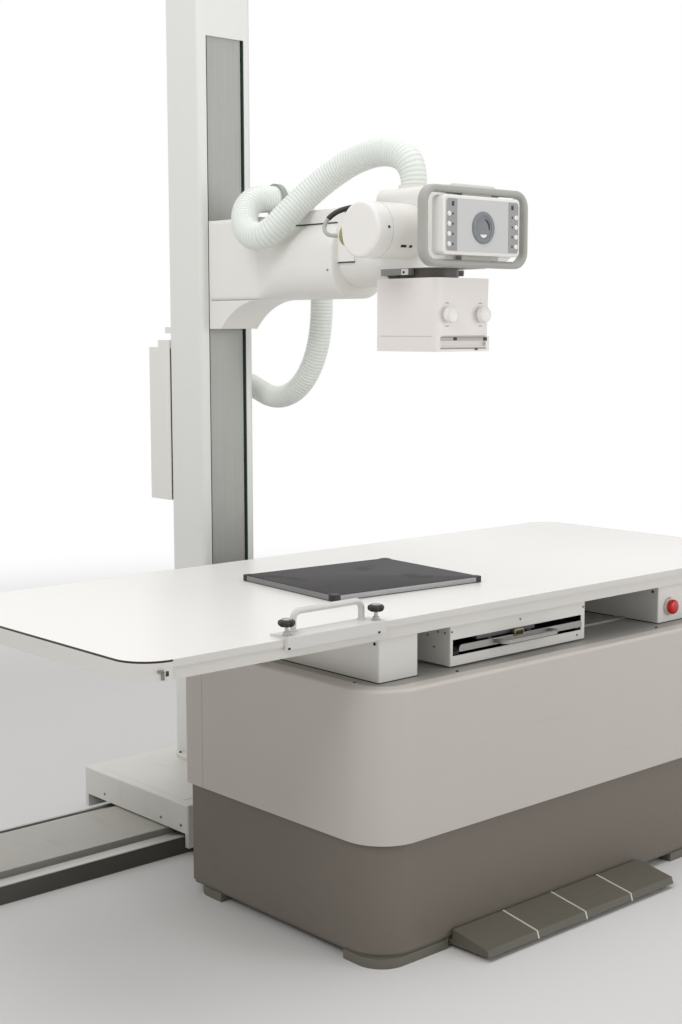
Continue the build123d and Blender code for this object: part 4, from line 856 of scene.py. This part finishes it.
# arm: rubber seals under its top cover and end cover, and their screws
makePlates("armSeals", ("greenRubber", "arm", "green_rubber"), [
    ((-0.192, 0.4125, 1.6664), "left", (0.295, 0.0034), 0.001, 0.0005),
    ((-0.072, 0.4125, 1.6664), "right", (0.295, 0.0034), 0.001, 0.0005),
    ((-0.132, 0.205, 1.5645), "front", (0.1505, 0.0034), 0.001, 0.0003),
    ((-0.207, 0.235, 1.5645), "left", (0.0605, 0.0034), 0.001, 0.0003),
    ((-0.057, 0.235, 1.5645), "right", (0.0605, 0.0034), 0.001, 0.0003),
], low=-0.0030, soft=0.0002)
makeScrews("armScrews", ("screwSteel", "arm", "steel"), 0.0030, {
    "left": [(-0.232, 0.277, 1.546), (-0.207, 0.235, 1.690)],
    "right": [(-0.032, 0.277, 1.546), (-0.057, 0.235, 1.690)],
})

# mounting plate: white blocks at the step's front end, and screws
makePlates("plateBlocks", ("whiteMoulding", "tube_head", "white_moulding"), [
    ((-0.222, 0.006, 1.5335), "left", (0.022, 0.0145), 0.002, 0.0022),
    ((-0.042, -0.006, 1.5335), "right", (0.022, 0.0145), 0.002, 0.0022),
])
makeScrews("plateScrews", ("screwBlack", "tube_head", "black_steel"), 0.0031, {
    "left": [(-0.2242, 0.008, 1.5325)], "right": [(-0.0398, -0.008, 1.5325)],
    "front": [(-0.151, -0.102, 1.5460), (-0.113, -0.102, 1.5460)],
})

# collimator: seam over the foot, clips of the accessory groove, knob marks and fluted knobs
collimatorParts = {
    "middle": -0.132, "front": -0.104, "seam": ((-0.132, 0, 1.380), (0.1855, 0.2085), 0.0203, 0.0006),
    "clips": [(-0.162, 1.3735, 0.012, 0.0075), (-0.057, 1.3725, 0.013, 0.0085), (-0.088, 1.3485, 0.010, 0.0045)],
    # the grey bands after the clips are painted shade in the accessory groove
    "rails": [(-0.132, 1.3728, 0.160, 0.0085), (-0.132, 1.3518, 0.160, 0.0030)],
    "lines": [(-0.132, 1.3775, 0.158, 0.0014), (-0.132, 1.3500, 0.158, 0.0014)],
    "knobX": {"left": -0.1895, "right": -0.0745}, "knobHeight": 1.431, "flutes": (120, 24, 0.055),
    "knobMarks": [(0.0275, 0.0030, 74, 106, 0.0003, 10), (0.0275, 0.0030, 254, 286, 0.0003, 10)],
    "knobProfile": [
        (0.0125, -0.0004), (0.0125, 0.0040), (0.0182, 0.0048), (0.0196, 0.0062), (0.0196, 0.0165),
        (0.0188, 0.0188), (0.0172, 0.0200), (0.0168, 0.0196), (0.0080, 0.0190), (0.0020, 0.0189),
    ],
    "window": ((-0.132, 0, 1.3440), "under", (0.124, 0.124), 0.006, 0.007, -0.0010, 0.0012),
}


def makeCollimator(look):
    greyDress = ("grooveGrey", "collimator", "ring_grey")
    seamDress = ("seamGrey", "collimator", "ring_grey")
    makePiece("collimatorSeam", seamDress, [(addSeam, *look["seam"])])

    # the same plates on the front and, turned round, on the back
    def bothSides(plates, bend, high):
        made = []
        for x, z, width, height in plates:
            made.append(((x, look["front"], z), "front", (width, height), bend, high))
            made.append(((2 * look["middle"] - x, -look["front"], z), "back", (width, height), bend, high))
        return made

    clipDress = ("blackMoulding", "collimator", "black_plastic")
    makePlates("grooveClips", clipDress, bothSides(look["clips"], 0.001, 0.0012))
    # painted shade: grey bands across the accessory groove, front and back
    makePlates("grooveShadeBands", greyDress, bothSides(look["rails"], 0.0005, 0.0002), soft=0.0001)
    makePlates("grooveLines", seamDress, bothSides(look["lines"], 0.0005, 0.0004), soft=0.0002)
    makePiece("knobMarks", greyDress, [
        (addCrescent, (x, look["front"], look["knobHeight"]), "front", *mark)
        for x in look["knobX"].values() for mark in look["knobMarks"]
    ])
    for side, x in look["knobX"].items():
        place = (x, look["front"], look["knobHeight"])
        knob = [(addTurned, place, "front", look["knobProfile"], *look["flutes"])]
        dress = ("whiteMoulding", side + "_shutter", "white_moulding")
        makePiece(side + "ShutterKnob", dress, knob, ("shutter_knob_" + side,), 50)
    makePiece("windowFrame", ("lampDark", "collimator", "black_plastic"), [(addFrame, *look["window"])])


makeCollimator(collimatorParts)

# detector: black gasket, aluminium case, dark top and black corner bumpers
detectorParts = {
    "middle": (-0.270, 0.108, 0.772), "turn": -5, "size": (0.460, 0.384),
    "layers": {
        "detectorGasket": ("detectorRubber", "black_plastic", 0.004, 0.010, 0.0002, 0.0024, 0.0003),
        "detectorCase": ("caseAluminium", "rail_aluminium", 0, 0.011, 0.0022, 0.0140, 0.0010),
        "detectorTop": ("detectorTop", "detector_dark", 0.007, 0.009, 0.0138, 0.0150, 0.0006),
    },
    "bumperInset": 0.0125, "bumper": ((0.0265, 0.0265), 0.009, 0.0012, 0.0154, 0.0010),
}


def makeDetector(look):
    x, y, bottom = look["middle"]
    width, depth = look["size"]
    turn = ((x, y, 0), Matrix.Rotation(math.radians(look["turn"]), 3, "Z"))
    for name, (finishName, slotName, smaller, bend, low, high, soft) in look["layers"].items():
        size = (width - smaller, depth - smaller)
        plate = [(addPlate, look["middle"], "top", size, bend, low, high, soft)]
        replaced = ("detector",) if name == "detectorCase" else ()
        makePiece(name, (finishName, "tabletop", slotName), plate, replaced, turn=turn)
    bumpers = []
    for signX in (-1, 1):
        for signY in (-1, 1):
            across, along = (signX * (width / 2 - look["bumperInset"]), signY * (depth / 2 - look["bumperInset"]))
            bumpers.append((addPlate, (x + across, y + along, bottom), "top", *look["bumper"]))
    makePiece("detectorBumpers", ("detectorRubber", "tabletop", "black_plastic"), bumpers, turn=turn)


makeDetector(detectorParts)

# star knobs of the grip clamp: lobed head, polished cap, stud with nut and washer
starKnobs = {
    "x": {"left": -0.8545, "right": -0.6045}, "y": -0.300, "foot": 0.777, "lobes": (112, 7, 0.20),
    "head": [
        (0.0060, 0.0180), (0.0120, 0.0184), (0.0172, 0.0208), (0.0186, 0.0240), (0.0184, 0.0282),
        (0.0160, 0.0318), (0.0118, 0.0334), (0.0060, 0.0338),
    ],
    "cap": [(0.0108, 0.0330), (0.0108, 0.0343), (0.0092, 0.0352), (0.0030, 0.0354)],
    "stud": [(0.0100, 0), (0.0100, 0.0020), (0.0074, 0.0022), (0.0074, 0.0078), (0.0042, 0.0084), (0.0042, 0.0186)],
}


def makeStarKnobs(look):
    for side, x in look["x"].items():
        place, body = (x, look["y"], look["foot"]), side + "_clamp_knob"
        head = [(addTurned, place, "top", look["head"], *look["lobes"])]
        makePiece(side + "StarKnob", ("blackMoulding", body, "black_plastic"), head, ("star_knob_" + side,), 50)
        steelDress = ("studSteel", body, "steel")
        makePiece(side + "KnobCap", steelDress, [(addTurned, place, "top", look["cap"], 28)])
        makePiece(side + "KnobStud", steelDress, [(addTurned, place, "top", look["stud"], 30)])


makeStarKnobs(starKnobs)

# grip clamp: dark screw ends under its front and collars at the handle's feet
collarProfile = [(0.0069, 0), (0.0100, 0), (0.0100, 0.0018), (0.0082, 0.0030), (0.0069, 0.0030)]
makePlates("clampScrewEnds", ("screwBlack", "hand_grip", "black_steel"), [
    ((x, -0.318, 0.7530), "front", (0.007, 0.0045), 0.001, 0.0006) for x in (-0.8625, -0.6115)
])
makePiece("handleCollars", ("gripPaint", "hand_grip", "warm_white_paint"), [
    (addRing, (x, -0.274, 0.777), "top", collarProfile, 32) for x in (-0.8155, -0.6235)
])

# end boxes and deck: dark gaskets and screws
makePlates("boxGaskets", ("detectorRubber", "table_body", "black_plastic"), [
    ((x, 0, 0.623), "top", (0.1226, 0.5378), 0.003, 0.0022) for x in (-0.5055, 0.5055)
], low=0.0)
makeScrews("tableBodyScrews", ("screwBlack", "table_body", "black_steel"), 0.0036, {
    "left": [(-0.566, -0.255, 0.711), (-0.566, 0.255, 0.711), (0.445, -0.250, 0.707)],
    "right": [(0.566, -0.255, 0.711), (0.566, 0.255, 0.711), (-0.445, 0.250, 0.707)],
    "top": [
        (-0.597, -0.222, 0.623), (-0.347, -0.296, 0.623), (0.400, -0.296, 0.623), (0.597, -0.222, 0.623),
        (0.597, 0.222, 0.623), (-0.597, 0.222, 0.623),
    ],
})

# detector drawer: screws, a dark sheet of painted shade over the tray, clamp bar with its ring
makeScrews("buckyScrews", ("screwSteel", "bucky", "steel"), 0.0028, {
    "left": [(-0.341, -0.196, 0.692), (-0.341, -0.229, 0.704), (-0.341, -0.251, 0.704), (-0.341, -0.216, 0.667)],
    "front": [(-0.336, -0.268, 0.708), (-0.101, -0.268, 0.708), (0.134, -0.268, 0.708), (0.111, -0.268, 0.640)],
    "right": [(0.142, -0.229, 0.704), (0.142, -0.196, 0.692), (0.142, -0.216, 0.667)],
})
# painted shade: a dark sheet across the tray stands in for its deep openings
makePlates("trayShadeSheet", ("slotDark", "tray", "black_plastic"), [
    ((-0.0995, -0.040, 0.663), "top", (0.426, 0.420), 0.006, 0.0008),
])
makePlates("trayClampBar", ("barGrey", "tray", "ring_grey"), [
    ((-0.144, -0.262, 0.6822), "front", (0.204, 0.0095), 0.002, 0.0),
    ((-0.200, -0.262, 0.6720), "front", (0.012, 0.0190), 0.002, -0.0010),
    ((-0.060, -0.262, 0.6720), "front", (0.012, 0.0190), 0.002, -0.0010),
], low=-0.012, soft=0.0010)
latchPlace = (-0.1165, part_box("cassette_tray")[0][1] + 0.0335, 0.6800)
makePiece("trayLatchRing", ("latchBrass", "tray", "steel"), [
    (addFrame, latchPlace, "front", (0.034, 0.0160), 0.0070, 0.0028, -0.0006, 0.0026)
])
makePiece("trayLatchSeat", ("lampDark", "tray", "black_plastic"), [
    (addPlate, latchPlace, "front", (0.030, 0.0120), 0.0055, -0.0006, 0.0010, 0.0004)
])

# stop button: collar ring behind the red head
stopLook = {
    "place": (0.492, -0.268, 0.665),
    "ring": [(0.0205, -0.0004), (0.0240, -0.0004), (0.0240, 0.0030), (0.0230, 0.0042), (0.0205, 0.0042)],
    "head": [
        (0.0100, 0.0040), (0.0100, 0.0075), (0.0182, 0.0084), (0.0194, 0.0104), (0.0195, 0.0150),
        (0.0180, 0.0186), (0.0140, 0.0208), (0.0080, 0.0220), (0.0025, 0.0224),
    ],
}
makePiece("stopCollarRing", ("dividerWhite", "table_body", "divider_white"), [
    (addRing, stopLook["place"], "front", stopLook["ring"])
])
makePiece("stopHead", ("buttonRed", "stop", "button_red"), [
    (addTurned, stopLook["place"], "front", stopLook["head"], 48)
], ("stop_button",), 50)

# apron ends: square black plug, tip, and grey plates of painted shade for the T-shaped recess where the apron meets
# the side rail
apronEnds = {
    "corners": {"left": (-1.145, -1), "right": (0.895, 1)}, "faces": {"front": -0.3085, "back": 0.5785},
    "plugs": [(0.0115, 0.7460, (0.0095, 0.0105), 0.0008), (0.0020, 0.7660, (0.0060, 0.0055), 0.0006)],
    "recessShadePlates": [(0.0270, 0.7515, (0.0120, 0.0060), 0.0006), (0.0225, 0.7425, (0.0060, 0.0160), 0.0006)],
}


def makeApronEnds(look):
    def everyCorner(shapes):
        plates = []
        for x, inward in look["corners"].values():
            for face, y in look["faces"].items():
                for offset, z, size, high in shapes:
                    plates.append(((x + inward * offset, y, z), face, size, 0.001, high))
        return plates

    makePlates("apronPlugs", ("lampDark", "tabletop", "black_plastic"), everyCorner(look["plugs"]), low=-0.004)
    # painted shade: grey plates stand in for the dark T-shaped recess
    makePlates("apronRecessShade", ("catchGrey", "tabletop", "ring_grey"), everyCorner(look["recessShadePlates"]), low=-0.004)


makeApronEnds(apronEnds)

# floor rail: end plates with screws
railEnds = {
    "ends": {"left": -1.450, "right": 1.450}, "middle": 0.7625, "height": 0.026,
    "plate": ((0.380, 0.040), 0.004, -0.0005, 0.0030, 0.0010),
    "screwOffsets": (-0.165, -0.055, 0.055, 0.165), "screwReach": {"left": -0.0030, "right": 0.0030},
}


def makeRailEnds(look):
    plates, places = [], {}
    y, z = look["middle"], look["height"]
    for side, x in look["ends"].items():
        plates.append((addPlate, (x, y, z), side, *look["plate"]))
        places[side] = [(x + look["screwReach"][side], y + offset, z) for offset in look["screwOffsets"]]
    makePiece("railEndPlates", ("railCoverPaint", "base", "light_grey_cover"), plates)
    makeScrews("railEndScrews", ("screwSteel", "base", "steel"), 0.0045, places)


makeRailEnds(railEnds)

# floor carriage: black plates of painted shade in the gaps over the tracks, raised panels, screws and foot collar
# bolts
carriageParts = {
    "ends": {"left": -0.493, "right": 0.229}, "panelX": (-0.372, 0.108),
    "gapShadePlates": [(0.616, (0.046, 0.013)), (0.990, (0.056, 0.013))], "gapShadeHeight": 0.0575,
    "screwY": (0.676, 0.953, 0.583), "screwHeight": 0.075,
    "collar": (-0.132, 0.9005, 0.150), "boltReach": 0.110, "boltCount": 8,
}


def makeCarriage(look):
    # painted shade: black plates set just inside the carriage ends fill the dark gaps over the tracks
    makePlates("trackGapShade", ("blackMoulding", "stand", "black_plastic"), [
        ((x, y, look["gapShadeHeight"]), side, size, 0.001, -0.0015)
        for side, x in look["ends"].items() for y, size in look["gapShadePlates"]
    ], low=-0.016)
    makePlates("carriagePanel", ("carriagePaint", "stand", "warm_white_paint"), [
        ((x, 0.800, 0.135), "top", (0.190, 0.400), 0.008, 0.0008) for x in look["panelX"]
    ])
    makeScrews("carriageScrews", ("screwSteel", "stand", "steel"), 0.0040, {
        side: [(x, y, look["screwHeight"]) for y in look["screwY"]] for side, x in look["ends"].items()
    })
    x, y, z = look["collar"]
    bolts = []
    for i in range(look["boltCount"]):
        angle = 2 * math.pi * (i + 0.5) / look["boltCount"]
        across, along = look["boltReach"] * math.cos(angle), look["boltReach"] * math.sin(angle)
        bolts.append((x + across, y + along, z))
    makeScrews("collarBolts", ("screwBlack", "stand", "black_steel"), 0.0045, {"top": bolts})


makeCarriage(carriageParts)

# control box: door seam, vents and corner screws
controlBoxLook = {
    "middle": (-0.132, 1.083, 1.1225), "door": (0.150, 0.380), "screws": (0.068, 0.180),
    "vents": 12, "ventStart": 0.965, "ventPitch": 0.011, "ventSize": (0.090, 0.0045),
}


def makeControlBox(look):
    x, back, z = look["middle"]
    makePiece("boxDoorSeam", ("seamGrey", "column_assembly", "ring_grey"), [
        (addFrame, look["middle"], "back", look["door"], 0.006, 0.0012, -0.0003, 0.0004)
    ])
    heights = [look["ventStart"] + look["ventPitch"] * i for i in range(look["vents"])]
    makePlates("boxVents", ("lampDark", "column_assembly", "black_plastic"), [
        ((x, back, height), "back", look["ventSize"], 0.0020, 0.0004) for height in heights
    ], soft=0.0002)
    across, up = look["screws"]
    places = [(x + a, back, z + b) for a in (-across, across) for b in (-up, up)]
    makeScrews("boxScrews", ("screwSteel", "column_assembly", "steel"), 0.0036, {"back": places})


makeControlBox(controlBoxLook)

# rear cover of the table: vents and screws, placed by the cover's own box
rearLook = {
    "ventColumns": (-0.30, 0.30), "ventStart": 0.42, "ventPitch": 0.012, "vents": 9, "ventSize": (0.12, 0.005),
    "screwX": (-0.50, 0, 0.50), "screwHeights": (0.33, 0.58),
}


def makeRearVents(look):
    low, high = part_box("rear_cover")
    middle, back = (low[0] + high[0]) / 2, high[1]
    heights = [look["ventStart"] + look["ventPitch"] * i for i in range(look["vents"])]
    makePlates("rearVents", ("lampDark", "table_body", "black_plastic"), [
        ((middle + across, back, height), "back", look["ventSize"], 0.0024, 0.0004)
        for across in look["ventColumns"] for height in heights
    ], soft=0.0002)
    places = [(middle + across, back, height) for across in look["screwX"] for height in look["screwHeights"]]
    makeScrews("rearScrews", ("screwSteel", "table_body", "steel"), 0.0045, {"back": places})


makeRearVents(rearLook)
print("trims, knobs and fasteners made")


# stage: pale floor that fades into white, and soft lamps
stageLook = {
    "floorSize": 60, "floorColour": linear(0.86, 0.855, 0.85), "fade": (2.4, 6.0), "ambient": 0.47,
    "lamps": [
        ("overheadLamp", (0.2, 0.2, 5.2), (0.0, 0.3, 0.0), 5.0, 94),
        ("frontLamp", (2.2, -4.4, 1.9), (0.1, 0.0, 0.5), 3.0, 57),
        ("sideLamp", (-4.4, -1.2, 4.4), (-0.2, 0.3, 1.3), 2.6, 86),
    ],
}


def makeFloor(look):
    half = look["floorSize"] / 2
    bm = bmesh.new()
    corners = ((-half, -half), (half, -half), (half, half), (-half, half))
    bm.faces.new([bm.verts.new((x, y, 0)) for x, y in corners])
    mesh = bpy.data.meshes.new("paleFloor")
    bm.to_mesh(mesh)
    bm.free()
    floor = bpy.data.objects.new("paleFloor", mesh)
    scene.collection.objects.link(floor)
    finish = Finish("floorPale", {"Roughness": 0.85, "Specular IOR Level": 0.1, "Base Color": look["floorColour"]})
    distance = finish.node("VectorMath", {"operation": "LENGTH"}, {0: finish.position}, "Value")
    farWhite = finish.node("Emission", None, {"Color": (1, 1, 1, 1), "Strength": 1.0})
    near = Wire(finish, finish.shader.outputs[0])
    faded = finish.node("MixShader", None, {0: finish.step(distance, *look["fade"]), 1: near, 2: farWhite})
    finish.feed(finish.tree.nodes["Material Output"].inputs["Surface"], faded)
    mesh.materials.append(finish.material)


# white where it is seen or mirrored, dimmer as light on the object
def makeWorld(look):
    world = bpy.data.worlds.new("softWorld")
    scene.world = world
    world.use_nodes = True
    sheet = NodeSheet(world.node_tree)
    background = sheet.tree.nodes["Background"]
    background.inputs["Color"].default_value = (1, 1, 1, 1)
    seen = 0
    for name in ("Is Camera Ray", "Is Glossy Ray", "Is Transmission Ray"):
        ray = sheet.node("LightPath", output=name)
        seen = sheet.node("Math", {"operation": "MAXIMUM"}, {0: ray, 1: seen})
    values = {"Value": seen, "To Min": look["ambient"], "To Max": 1.0}
    sheet.feed(background.inputs["Strength"], sheet.node("MapRange", None, values))


def makeLamps(look):
    for name, place, target, size, power in look["lamps"]:
        data = bpy.data.lights.new(name, "AREA")
        data.shape = "DISK"
        data.size = size
        data.energy = power
        lamp = bpy.data.objects.new(name, data)
        scene.collection.objects.link(lamp)
        lamp.location = place
        lamp.rotation_mode = "QUATERNION"
        lamp.rotation_quaternion = (Vector(target) - Vector(place)).to_track_quat("-Z", "Y")


makeFloor(stageLook)
makeWorld(stageLook)
makeLamps(stageLook)
scene.view_settings.view_transform = "Standard"
print("stage set")

print("x-ray machine finished")
